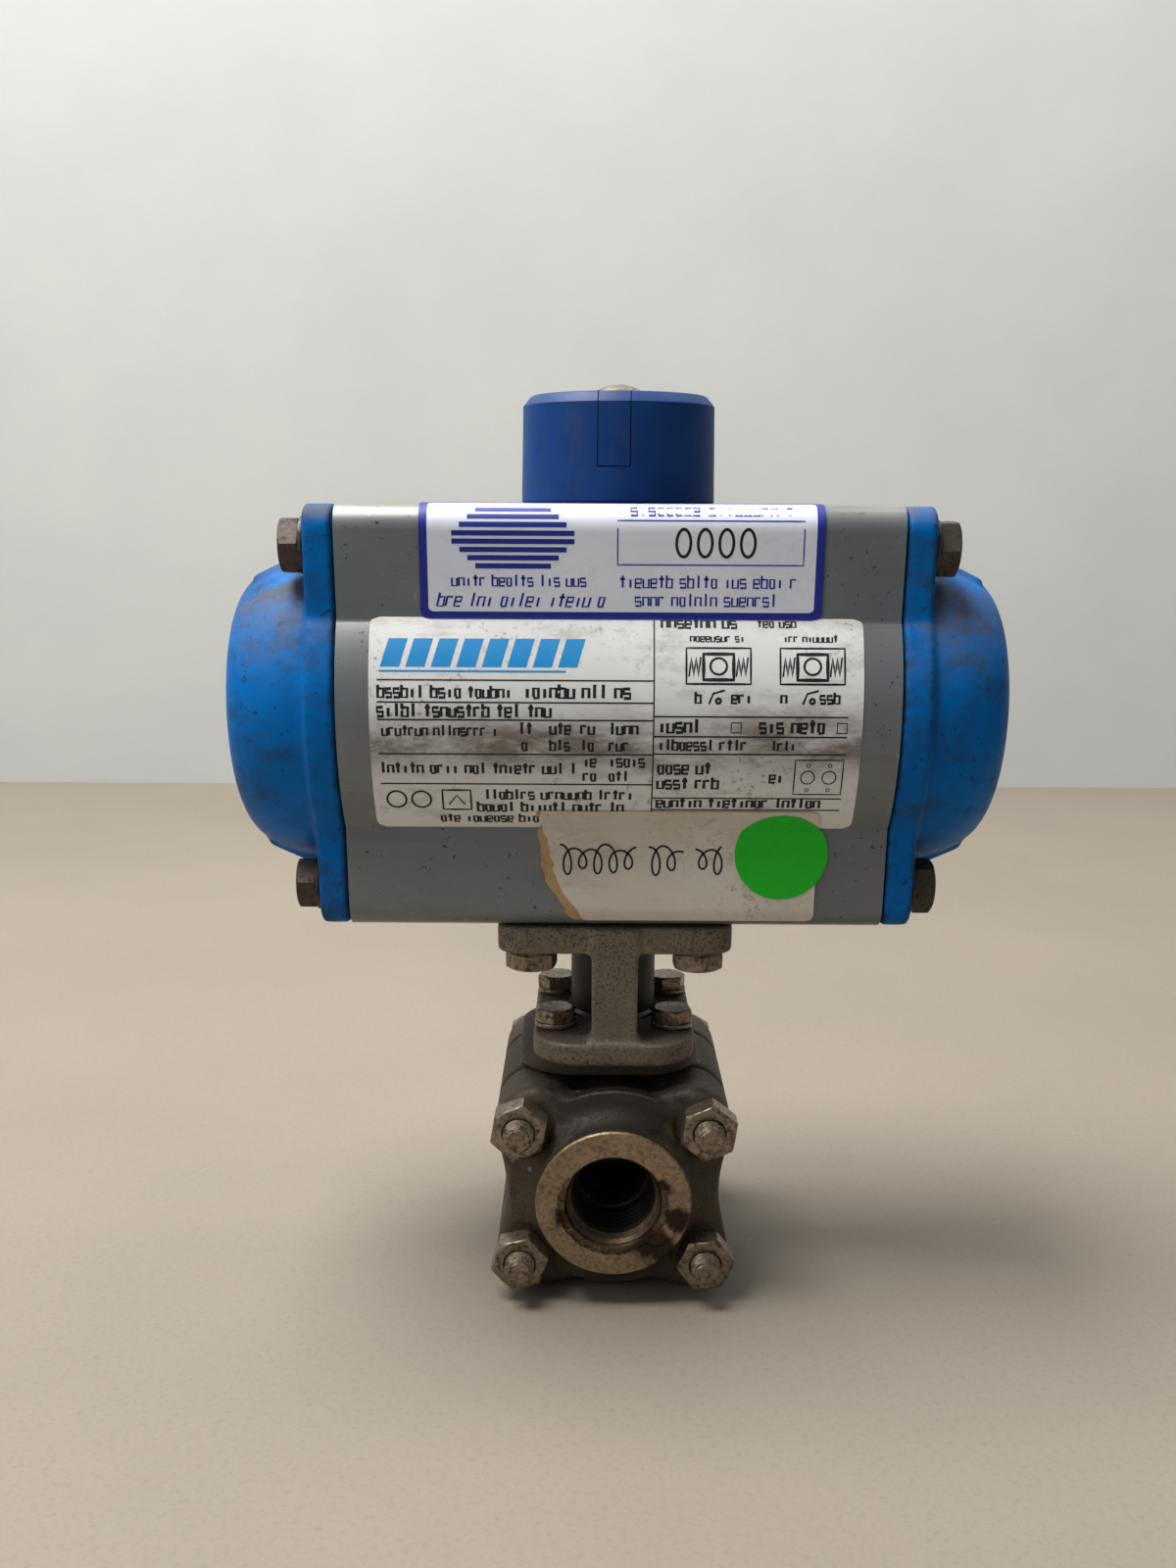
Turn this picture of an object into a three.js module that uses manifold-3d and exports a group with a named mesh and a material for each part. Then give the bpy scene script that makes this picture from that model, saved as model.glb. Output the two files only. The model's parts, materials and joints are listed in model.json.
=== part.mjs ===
// Quarter-turn ball valve with a spring-return rack-and-pinion air actuator.
//
// Millimetres, +Z up. X runs along the actuator, Y runs along the pipe and the origin is on the
// surface the valve stands on, straight under the stem. The valve is drawn closed, with the
// actuator's springs extended. Turning the pinion +90 degrees about +Z opens it.

import * as THREE from 'three';
import { mergeVertices } from 'three/addons/utils/BufferGeometryUtils.js';
import Module from 'manifold-3d';

const wasm = await Module();
wasm.setup();

// ---------------------------------------------------------------- driving dimensions

const FIT = 0.3; // gap left between pieces that touch
const SMALL_FIT = 0.15; // gap under heads, nuts and plates

// Valve
const PORT_AXIS_Z = 24.3;
const FACE_TO_FACE = 73;
const BORE_R = 7.5;
const BALL_R = 12;
const CAVITY_R = 12.65;
const FLANGE = {
  width: 51, height: 47.2, corner: 9, waist: 2.2, pinch: 4, scoop: 2.2, scoopHalf: 9,
  inner: 12.65, outer: 28.5,
};
const HUB = { r: 16.6, rootR: 18.2, blend: 2.6 };
const THREAD = { mouthR: 10.7, endR: 9.3, length: 15, chamferR: 11.4 };
const BODY_BOLT = {
  x: 20.1, z: 15.3, r: 3.1, holeR: 3.45, front: 38.9, tip: 0.8, nutAF: 11.1, nut: 6, head: 4.4,
};
const PAD = { width: 40.6, depth: 41.4, corner: 12, bottom: 47.4, top: 51.4 };
const STEM = {
  r: 5, shoulderR: 6.5, shoulderBottom: 36.8, shoulderTop: 39, pocketTop: 39.3,
  chamberR: 8, chamberBottom: 41, top: 71, flat: 3.6, flatBottom: 58.5,
};
const TANG = { halfX: 2, halfY: 4.9, bottom: 33.2, slotHalfX: 2.3, slotHalfY: 5.4, slotBottom: 32.9 };
const SEAT = { inner: 8.8, outer: 12.3, r: 12.3, clearance: 0.45 };
const PACKING_TOP = 46.6;
const GLAND = { bottom: 46.9, top: 55.6, af: 16 };

// Bracket between valve and actuator
const LOWER_PLATE = { bottom: 51.6, top: 56.6, width: 35, depth: 52.8, corner: 10, hole: 9.8 };
const UPPER_PLATE = { bottom: 75.9, top: 81.75, width: 49.4, depth: 49, corner: 5, hole: 10.6 };
const LEG = { width: 9.5, outer: 25, thickness: 5 };
const PAD_BOLT = { offset: 12.73, r: 2.4, holeR: 2.75, af: 8, top: 60.85 };
const BRACKET_BOLT = {
  offset: 17.68, r: 2.9, holeR: 3.25, af: 10, headBottom: 71.4, headTop: 74.9, end: 90, holeEnd: 91.5,
};
const WASHER = { thickness: 1, padR: 4.6, teeth: 12, rootR: 4.7, tipR: 5.3 };

// Actuator housing
const BODY_AXIS_Z = 123.5;
const BODY_HALF_LENGTH = 54.75;
const BODY_SECTION = { bulgeR: 33.2, halfY: 26.1, halfZ: 41.6, corner: 5 };
const CYLINDER_R = 28.5;
const AIR_PAD = {
  face: 36, halfX: 27, halfZ: 20.4, root: 20, portX: 12, portR: 5.9, portDepth: 5.5, ductR: 1.8,
  holeX: 16, holeZ: 12, holeR: 2.1, holeDepth: 4.5,
};
const TOP_HOLE = { x: 40, y: 15, r: 2.1, depth: 8 };
const TOP_RECESS = { r: 20.4, depth: 0.6 }; // clears the indicator cap inside the top face
const LOWER_SHAFT_HOLE_R = 13;
const UPPER_SHAFT_HOLE_R = 11.5;
const CAP_FLANGE = { inner: 55.05, outer: 61 };
const CAP_BOLT = { y: 19, z: 33.7, r: 2.9, holeR: 3.25, af: 10, washerR: 5.6, inner: 42, outer: 66 };
const DOME_END = 80.3;
const DOME_WALL = 3.6;
const GUSSET = { halfY: 8, root: 22, crest: 36.5, tip: 28.5, tipX: 74.5 }; // root to tip from the axis
const SEAL = { innerR: 29.8, outerR: 31.6, depth: 1.7 };

// Actuator drive
const MODULE = 1.375;
const TEETH = 16;
const PITCH_R = (MODULE * TEETH) / 2;
const RACK_PITCH = Math.PI * MODULE;
const PRESSURE = THREE.MathUtils.degToRad(20);
const TOOTH_THINNING = 0.12; // taken off each flank, for backlash
const GEAR_HALF_Z = 11;
const PISTON = { inner: 24, outer: 34, r: 28.2, pocketR: 22, pocketFloor: 29.5, armEnd: -22.8 };
const ARM = { back: 24, halfZ: 9.5 };
const RING = { inner: 28, outer: 31, depthR: 26.2, slack: 0.2, proud: 0.1 };
const SPRING = { outerR: 20.4, innerR: 16.2, inner: 30.2, outer: 75.8 };
const SHAFT = {
  topR: 9, bottomR: 10.5, bottom: 82.3, waistR: 8.8, waistBottom: 109, waistTop: 139, neckR: 7.5,
  flat: 5.5, flatBottom: 172, top: 181.8,
};
const LOWER_BEARING = { outerR: 12.7, bottom: 84, top: 93.5 };
const UPPER_BEARING = { outerR: 11.2, bottom: 153.5, top: 163.5 };
const CIRCLIP = { outerR: 12, top: 1.3, slack: 0.2 }; // top above the housing
const SOCKET = { side: 9.9, top: 97.5 };
const COUPLING = { r: 9.4, bottom: 57.4, shoulder: 81.6, drive: 9.2, top: 96, key: 3.9, keyBottom: 59 };

// Position indicator on top
const INDICATOR = { bottom: 165.5, top: 185.8, baseR: 19.7, topR: 19.35, chamfer: 1.5, wall: 2.6 };
const INSERT = { width: 6.4, depth: 2.2, bottom: 172.2, turn: THREE.MathUtils.degToRad(-3.5) };
const HUB_UNDER_CAP = { r: 10.4, bottom: 173.5, key: 5.9, roof: 3.4 };
const SCREW = { r: 2.1, holeR: 2.6, bottom: 172, headR: 6, rimR: 5.5, crownR: 3, top: 188.2 };

// Flat facets around a full turn of large, middling and small round surfaces
const LARGE = 36;
const MIDDLE = 24;
const SMALL = 10;

// How far each hexagon was left turned when it was tightened, in degrees
const NUT_TURNS = [12, 20, 6, 22];
const BRACKET_BOLT_TURNS = [20, 8, 34, 50];
const PAD_BOLT_TURNS = [25, 5, 40, 15];
const CAP_BOLT_TURNS = [4, 18, 27, 10];

const BODY_TOP = BODY_AXIS_Z + BODY_SECTION.halfZ;
const BODY_BOTTOM = BODY_AXIS_Z - BODY_SECTION.halfZ;

// ---------------------------------------------------------------- materials

const material = (color, roughness, metalness) =>
  new THREE.MeshStandardMaterial({ color, roughness, metalness });

const MATERIALS = {
  greyPaint: material(0x8e9396, 0.55, 0.1),
  bluePaint: material(0x1f649f, 0.42, 0.05),
  bluePlastic: material(0x25477a, 0.5, 0),
  castSteel: material(0x6f675c, 0.55, 0.85),
  machinedSteel: material(0xa89a86, 0.35, 0.95),
  boltSteel: material(0x8a7f73, 0.4, 0.95),
  springSteel: material(0x3c3a38, 0.45, 0.8),
  blackenedSteel: material(0x2c2b2a, 0.5, 0.7),
  aluminium: material(0xb5b8ba, 0.45, 0.8),
  rubber: material(0x161616, 0.85, 0),
  whitePolymer: material(0xe6e3da, 0.6, 0),
};

// ---------------------------------------------------------------- geometry helpers

/** Points on an arc about (cx, cy), angles in degrees. */
function arc(cx, cy, r, from, to, steps) {
  const points = [];
  for (let i = 0; i <= steps; i += 1) {
    const a = THREE.MathUtils.degToRad(from + ((to - from) * i) / steps);
    points.push([cx + r * Math.cos(a), cy + r * Math.sin(a)]);
  }
  return points;
}

/** Turns any closed three.js geometry into a solid whose faces point out. */
function solidOf(geometry) {
  const bare = geometry.index ? geometry.toNonIndexed() : geometry.clone();
  bare.deleteAttribute('normal');
  bare.deleteAttribute('uv');
  const merged = mergeVertices(bare, 1e-4);
  const position = merged.attributes.position.array;
  const corner = (i) => new THREE.Vector3().fromArray(position, 3 * i);
  const triangles = [];
  let volume = 0;
  for (let i = 0; i < merged.index.count; i += 3) {
    const [a, b, c] = merged.index.array.slice(i, i + 3);
    if (a !== b && b !== c && c !== a) {
      triangles.push([a, b, c]);
      volume += corner(a).dot(corner(b).cross(corner(c)));
    }
  }
  const facing = volume < 0 ? triangles.map(([a, b, c]) => [a, c, b]) : triangles;
  const triVerts = Uint32Array.from(facing.flat());
  const vertProperties = Float32Array.from(position);
  return new wasm.Manifold(new wasm.Mesh({ numProp: 3, vertProperties, triVerts }));
}

const MAP = {
  x: new THREE.Matrix4().makeBasis(
    new THREE.Vector3(0, 1, 0), new THREE.Vector3(0, 0, 1), new THREE.Vector3(1, 0, 0)),
  y: new THREE.Matrix4().makeBasis(
    new THREE.Vector3(1, 0, 0), new THREE.Vector3(0, 0, 1), new THREE.Vector3(0, 1, 0)),
  z: new THREE.Matrix4(),
};

/** Extrudes an outline along an axis. The outline lies in the other two axes, in X, Y, Z order. */
function prism(points, axis, from, to) {
  const shape = new THREE.Shape(points.map(([u, v]) => new THREE.Vector2(u, v)));
  const geometry = new THREE.ExtrudeGeometry(shape, { depth: to - from, bevelEnabled: false });
  geometry.translate(0, 0, from);
  return solidOf(geometry.applyMatrix4(MAP[axis]));
}

/** Turns a profile of [radius, distance along the axis] about an axis through (u, v). */
function turned(profile, axis, steps, [u, v] = [0, 0]) {
  const points = profile.map(([r, along]) => new THREE.Vector2(r, along));
  const geometry = new THREE.LatheGeometry(points, steps);
  geometry.rotateX(Math.PI / 2);
  geometry.translate(u, v, 0);
  return solidOf(geometry.applyMatrix4(MAP[axis]));
}

/** A plain round bar or hole along an axis through (u, v). */
function round(r, axis, from, to, steps, at) {
  return turned([[0, from], [r, from], [r, to], [0, to]], axis, steps, at);
}

/** A ring along an axis through (u, v). */
function ring(innerR, outerR, axis, from, to, steps, at) {
  const profile = [[innerR, from], [outerR, from], [outerR, to], [innerR, to], [innerR, from]];
  return turned(profile, axis, steps, at);
}

/** A hexagonal bar with the given width across its flats. */
function hexagon(acrossFlats, axis, from, to, [u, v], turn = 0) {
  const corners = arc(0, 0, acrossFlats / Math.sqrt(3), turn, turn + 300, 5);
  return prism(corners.map(([x, y]) => [x + u, y + v]), axis, from, to);
}

function block(x, y, z) {
  const geometry = new THREE.BoxGeometry(x[1] - x[0], y[1] - y[0], z[1] - z[0]);
  geometry.translate((x[0] + x[1]) / 2, (y[0] + y[1]) / 2, (z[0] + z[1]) / 2);
  return solidOf(geometry);
}

const join = (...solids) => solids.reduce((a, b) => a.add(b));
const cut = (solid, ...tools) => tools.reduce((a, b) => a.subtract(b), solid);

/** A rectangle with rounded corners, centred on (cx, cy). */
function roundedRectangle(width, height, r, steps, [cx, cy] = [0, 0]) {
  const x = width / 2 - r;
  const y = height / 2 - r;
  return [
    ...arc(cx + x, cy + y, r, 0, 90, steps),
    ...arc(cx - x, cy + y, r, 90, 180, steps),
    ...arc(cx - x, cy - y, r, 180, 270, steps),
    ...arc(cx + x, cy - y, r, 270, 360, steps),
  ];
}

const SIDES = [-1, 1];

/** The four corners of a rectangle, each with a name such as left_upper. */
function fourCorners(halfU, halfV, uNames, vNames) {
  return SIDES.flatMap((su, i) => SIDES.map((sv, j) => ({
    name: `${uNames[i]}_${vNames[j]}`,
    at: [su * halfU, sv * halfV],
  })));
}

// ---------------------------------------------------------------- the assembly

const assembly = new THREE.Group();

function place(name, solid, look, turn = 0) {
  const made = solid.getMesh();
  const geometry = new THREE.BufferGeometry();
  geometry.setAttribute('position', new THREE.BufferAttribute(made.vertProperties, 3));
  geometry.setIndex(new THREE.BufferAttribute(made.triVerts, 1));
  geometry.computeVertexNormals();
  const mesh = new THREE.Mesh(geometry, look);
  mesh.name = name;
  mesh.rotation.z = turn;
  assembly.add(mesh);
}

// ---------------------------------------------------------------- valve

/** Outline of the valve's three pieces: a rounded rectangle, waisted at its sides. The end
 * connections are scooped out above and below as well, between their bolt bosses. */
function valveOutline(scoop) {
  const halfW = FLANGE.width / 2;
  const r = FLANGE.corner;
  const middle = FLANGE.height / 2;
  const waist = halfW - FLANGE.waist;
  const scooped = FLANGE.height - scoop;
  const upperRight = arc(halfW - r, FLANGE.height - r, r, 0, 90, 5);
  const rightScoop = scoop > 0 ? [[FLANGE.scoopHalf, scooped]] : [];
  const rightWaist = [[waist, middle + FLANGE.pinch]];
  const quarter = [...rightWaist, ...upperRight, ...rightScoop];
  const upperLeft = quarter.map(([x, z]) => [-x, z]).reverse();
  const upper = [...quarter, ...upperLeft];
  const lower = upper.map(([x, z]) => [x, FLANGE.height - z]).reverse();
  return [...upper, ...lower];
}

const bodyBoltPlaces = fourCorners(BODY_BOLT.x, BODY_BOLT.z, ['left', 'right'], ['lower', 'upper'])
  .map(({ name, at: [x, z] }) => ({ name, at: [x, PORT_AXIS_Z + z] }));

function bodyBoltHoles(from, to) {
  return bodyBoltPlaces.map(({ at }) => round(BODY_BOLT.holeR, 'y', from, to, SMALL, at));
}

const padBoltPlaces = fourCorners(
  PAD_BOLT.offset, PAD_BOLT.offset, ['left', 'right'], ['front', 'rear']);

function makeValveBody() {
  const halfY = FLANGE.inner - FIT;
  const middle = prism(valveOutline(0), 'y', -halfY, halfY);
  const neck = block([-17, 17], [-halfY, halfY], [PORT_AXIS_Z + 16, PAD.bottom + 1]);
  const pad = prism(
    roundedRectangle(PAD.width, PAD.depth, PAD.corner, 6), 'z', PAD.bottom, PAD.top);
  const cavity = round(CAVITY_R, 'y', -20, 20, LARGE, [0, PORT_AXIS_Z]);
  const stemBore = turned([
    [0, PORT_AXIS_Z], [STEM.shoulderR + FIT, PORT_AXIS_Z], [STEM.shoulderR + FIT, STEM.pocketTop],
    [STEM.r + FIT, STEM.pocketTop], [STEM.r + FIT, STEM.chamberBottom],
    [STEM.chamberR, STEM.chamberBottom], [STEM.chamberR, PAD.top + 1], [0, PAD.top + 1],
  ], 'z', MIDDLE);
  const padHoles = padBoltPlaces.map(({ at }) => (
    round(PAD_BOLT.holeR, 'z', PAD.bottom + 0.7, PAD.top + 1, SMALL, at)));
  return cut(join(middle, neck, pad), cavity, stemBore, ...bodyBoltHoles(-20, 20), ...padHoles);
}

/** End connection with its flange, hub and tapered pipe thread; side is -1 front, +1 rear. */
function makeEndConnection(side) {
  const inner = FLANGE.inner;
  const face = FACE_TO_FACE / 2;
  const along = (distances) => distances.map(([r, y]) => [r, side * y]);
  const flangeFrom = Math.min(side * inner, side * FLANGE.outer);
  const flange = prism(
    valveOutline(FLANGE.scoop), 'y', flangeFrom, flangeFrom + FLANGE.outer - inner);
  const hub = turned(along([
    [0, inner + 2], [HUB.rootR, inner + 2], [HUB.rootR, FLANGE.outer],
    [HUB.r + 0.5, FLANGE.outer + HUB.blend / 2], [HUB.r, FLANGE.outer + HUB.blend],
    [HUB.r, face], [0, face],
  ]), 'y', LARGE, [0, PORT_AXIS_Z]);
  const bore = turned(along([
    [0, inner - 1], [BORE_R, inner - 1], [BORE_R, face - THREAD.length - 1.5],
    [THREAD.endR, face - THREAD.length], [THREAD.mouthR, face - 0.8],
    [THREAD.chamferR, face], [THREAD.chamferR, face + 1], [0, face + 1],
  ]), 'y', MIDDLE, [0, PORT_AXIS_Z]);
  const holes = bodyBoltHoles(flangeFrom - 1, flangeFrom + FLANGE.outer - inner + 1);
  return cut(join(flange, hub), bore, ...holes);
}

/** Ball closed: its bore lies along X, and its slot for the stem's tang lies along Y. */
function makeBall() {
  const profile = arc(0, PORT_AXIS_Z, BALL_R, -90, 90, MIDDLE / 2)
    .map(([r, z], i) => [i === 0 || i === MIDDLE / 2 ? 0 : r, z]);
  const ball = turned(profile, 'z', LARGE);
  const bore = round(BORE_R, 'x', -20, 20, MIDDLE, [0, PORT_AXIS_Z]);
  const slot = block(
    [-TANG.slotHalfX, TANG.slotHalfX], [-TANG.slotHalfY, TANG.slotHalfY],
    [TANG.slotBottom, PORT_AXIS_Z + BALL_R + 1]);
  return cut(ball, bore, slot);
}

function makeStem() {
  const bar = turned([
    [0, STEM.shoulderBottom], [STEM.shoulderR, STEM.shoulderBottom],
    [STEM.shoulderR, STEM.shoulderTop], [STEM.r, STEM.shoulderTop], [STEM.r, STEM.top], [0, STEM.top],
  ], 'z', MIDDLE / 2);
  const tang = block(
    [-TANG.halfX, TANG.halfX], [-TANG.halfY, TANG.halfY], [TANG.bottom, STEM.shoulderBottom + 0.7]);
  const flats = SIDES.map((side) => block(
    side > 0 ? [STEM.flat, 10] : [-10, -STEM.flat], [-10, 10], [STEM.flatBottom, STEM.top + 1]));
  return cut(join(bar, tang), ...flats);
}

/** Ball seat, dished to the ball; side is -1 front, +1 rear. */
function makeSeat(side) {
  const seat = turned(
    [
      [BORE_R, SEAT.inner], [SEAT.r, SEAT.inner], [SEAT.r, SEAT.outer], [BORE_R, SEAT.outer],
      [BORE_R, SEAT.inner],
    ].map(([r, y]) => [r, side * y]), 'y', MIDDLE, [0, PORT_AXIS_Z]);
  const dish = new THREE.SphereGeometry(BALL_R + SEAT.clearance, MIDDLE, MIDDLE / 2);
  dish.translate(0, 0, PORT_AXIS_Z);
  return cut(seat, solidOf(dish));
}

function makeGland() {
  const sleeve = round(STEM.chamberR - FIT, 'z', GLAND.bottom, PAD.top + 1, MIDDLE);
  const nut = hexagon(GLAND.af, 'z', PAD.top + SMALL_FIT, GLAND.top, [0, 0]);
  return cut(join(sleeve, nut), round(STEM.r + FIT, 'z', 40, 60, MIDDLE / 2));
}

/** Through bolt with its hexagon head behind the rear connection. */
function makeBodyBolt(at) {
  const headFrom = FLANGE.outer + SMALL_FIT;
  const shank = turned([
    [0, -BODY_BOLT.front], [BODY_BOLT.r - BODY_BOLT.tip, -BODY_BOLT.front],
    [BODY_BOLT.r, -BODY_BOLT.front + BODY_BOLT.tip], [BODY_BOLT.r, headFrom + 1], [0, headFrom + 1],
  ], 'y', SMALL, at);
  return join(shank, hexagon(BODY_BOLT.nutAF, 'y', headFrom, headFrom + BODY_BOLT.head, at, 30));
}

function makeBodyNut(at, turn) {
  const from = -FLANGE.outer - SMALL_FIT;
  const nut = hexagon(BODY_BOLT.nutAF, 'y', from - BODY_BOLT.nut, from, at, turn);
  return cut(nut, round(BODY_BOLT.holeR, 'y', from - 10, from + 1, SMALL, at));
}

function addValve() {
  place('valve_body', makeValveBody(), MATERIALS.castSteel);
  place('front_end_connection', makeEndConnection(-1), MATERIALS.castSteel);
  place('rear_end_connection', makeEndConnection(1), MATERIALS.castSteel);
  place('ball', makeBall(), MATERIALS.machinedSteel);
  place('stem', makeStem(), MATERIALS.machinedSteel);
  place('front_seat', makeSeat(-1), MATERIALS.whitePolymer);
  place('rear_seat', makeSeat(1), MATERIALS.whitePolymer);
  const packing = ring(
    STEM.r + FIT, STEM.chamberR - FIT, 'z', STEM.chamberBottom + FIT, PACKING_TOP, MIDDLE / 2);
  place('stem_packing', packing, MATERIALS.whitePolymer);
  place('gland', makeGland(), MATERIALS.machinedSteel);
  bodyBoltPlaces.forEach(({ name, at }, i) => {
    place(`body_bolt_${name}`, makeBodyBolt(at), MATERIALS.boltSteel);
    place(`body_nut_${name}`, makeBodyNut(at, NUT_TURNS[i]), MATERIALS.boltSteel);
  });
}

// ---------------------------------------------------------------- bracket

/** Cast bracket: a narrow lower plate and a square upper plate on a front and a rear leg. */
function makeBracket() {
  const lower = prism(
    roundedRectangle(LOWER_PLATE.width, LOWER_PLATE.depth, LOWER_PLATE.corner, 5),
    'z', LOWER_PLATE.bottom, LOWER_PLATE.top);
  const upper = prism(
    roundedRectangle(UPPER_PLATE.width, UPPER_PLATE.depth, UPPER_PLATE.corner, 3),
    'z', UPPER_PLATE.bottom, UPPER_PLATE.top);
  const legs = SIDES.map((side) => {
    const y = [side * LEG.outer, side * (LEG.outer - LEG.thickness)].sort((a, b) => a - b);
    return block(
      [-LEG.width / 2, LEG.width / 2], y, [LOWER_PLATE.bottom + 1, UPPER_PLATE.top - 1]);
  });
  const throughLower = [LOWER_PLATE.bottom - 1, LOWER_PLATE.top + 1];
  const throughUpper = [UPPER_PLATE.bottom - 1, UPPER_PLATE.top + 1];
  const holes = [
    round(LOWER_PLATE.hole, 'z', ...throughLower, MIDDLE),
    round(UPPER_PLATE.hole, 'z', ...throughUpper, MIDDLE),
    ...padBoltPlaces.map(({ at }) => round(PAD_BOLT.holeR, 'z', ...throughLower, SMALL, at)),
    ...bracketBoltPlaces.map(({ at }) => round(BRACKET_BOLT.holeR, 'z', ...throughUpper, SMALL, at)),
  ];
  return cut(join(lower, upper, ...legs), ...holes);
}

const bracketBoltPlaces = fourCorners(
  BRACKET_BOLT.offset, BRACKET_BOLT.offset, ['left', 'right'], ['front', 'rear']);

/** Bolt up through the bracket's upper plate into the actuator. */
function makeBracketBolt(at, turn) {
  const head = hexagon(
    BRACKET_BOLT.af, 'z', BRACKET_BOLT.headBottom, BRACKET_BOLT.headTop, at, turn);
  return join(
    head, round(BRACKET_BOLT.r, 'z', BRACKET_BOLT.headTop - 1, BRACKET_BOLT.end, SMALL, at));
}

/** Serrated lock washer: a ring with shallow teeth around its rim. */
function makeLockWasher([x, y]) {
  const rim = [];
  for (let i = 0; i < 2 * WASHER.teeth; i += 1) {
    const a = (Math.PI * i) / WASHER.teeth;
    const r = i % 2 ? WASHER.rootR : WASHER.tipR;
    rim.push([x + r * Math.cos(a), y + r * Math.sin(a)]);
  }
  const from = BRACKET_BOLT.headTop + SMALL_FIT;
  const disc = prism(rim, 'z', from, UPPER_PLATE.bottom - SMALL_FIT);
  return cut(disc, round(BRACKET_BOLT.holeR, 'z', from - 1, from + 2, SMALL, [x, y]));
}

/** Bolt down through the bracket's lower plate into the valve's mounting pad, with its washer. */
function makePadBolt(at, turn) {
  const seat = LOWER_PLATE.top + SMALL_FIT;
  const washer = round(WASHER.padR, 'z', seat, seat + WASHER.thickness, SMALL, at);
  const head = hexagon(
    PAD_BOLT.af, 'z', seat + WASHER.thickness - 0.1, PAD_BOLT.top, at, turn);
  return join(washer, head, round(PAD_BOLT.r, 'z', PAD.bottom + 1, seat + 2, SMALL, at));
}

/** Coupling: slides over the stem's flats and drives the pinion with its square end. */
function makeCoupling() {
  const barrel = round(COUPLING.r, 'z', COUPLING.bottom, COUPLING.shoulder, MIDDLE);
  const half = COUPLING.drive / 2;
  const square = block([-half, half], [-half, half], [COUPLING.shoulder - 1, COUPLING.top]);
  const stemBore = round(STEM.r + FIT, 'z', COUPLING.bottom - 1, STEM.top + 1, MIDDLE / 2);
  const keys = SIDES.map((side) => block(
    side > 0 ? [COUPLING.key, 7] : [-7, -COUPLING.key], [-7, 7], [COUPLING.keyBottom, STEM.top + 2]));
  return join(cut(join(barrel, square), stemBore), ...keys);
}

function addBracket() {
  place('bracket', makeBracket(), MATERIALS.castSteel);
  place('coupling', makeCoupling(), MATERIALS.blackenedSteel);
  bracketBoltPlaces.forEach(({ name, at }, i) => {
    place(`bracket_bolt_${name}`, makeBracketBolt(at, BRACKET_BOLT_TURNS[i]), MATERIALS.boltSteel);
    place(`lock_washer_${name}`, makeLockWasher(at), MATERIALS.boltSteel);
  });
  padBoltPlaces.forEach(({ name, at }, i) => {
    place(`pad_bolt_${name}`, makePadBolt(at, PAD_BOLT_TURNS[i]), MATERIALS.boltSteel);
  });
}

// ---------------------------------------------------------------- actuator housing

/** Section of the housing: a round cylinder barrel with a square-shouldered lobe above and below. */
function housingOutline() {
  const { bulgeR, halfY, halfZ, corner } = BODY_SECTION;
  const crease = THREE.MathUtils.radToDeg(Math.acos(halfY / bulgeR));
  const quarter = [
    ...arc(0, 0, bulgeR, 0, crease, 6),
    ...arc(halfY - corner, halfZ - corner, corner, 0, 90, 4),
  ];
  const upperLeft = quarter.map(([y, z]) => [-y, z]).reverse();
  const lowerLeft = quarter.map(([y, z]) => [-y, -z]);
  const lowerRight = quarter.map(([y, z]) => [y, -z]).reverse();
  const closed = [...quarter, ...upperLeft, ...lowerLeft.slice(1), ...lowerRight.slice(0, -1)];
  return closed.map(([y, z]) => [y, z + BODY_AXIS_Z]);
}

const capBoltPlaces = fourCorners(CAP_BOLT.y, CAP_BOLT.z, ['front', 'rear'], ['lower', 'upper'])
  .map(({ name, at: [y, z] }) => ({ name, at: [y, BODY_AXIS_Z + z] }));

const onAxis = [0, BODY_AXIS_Z];

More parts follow.
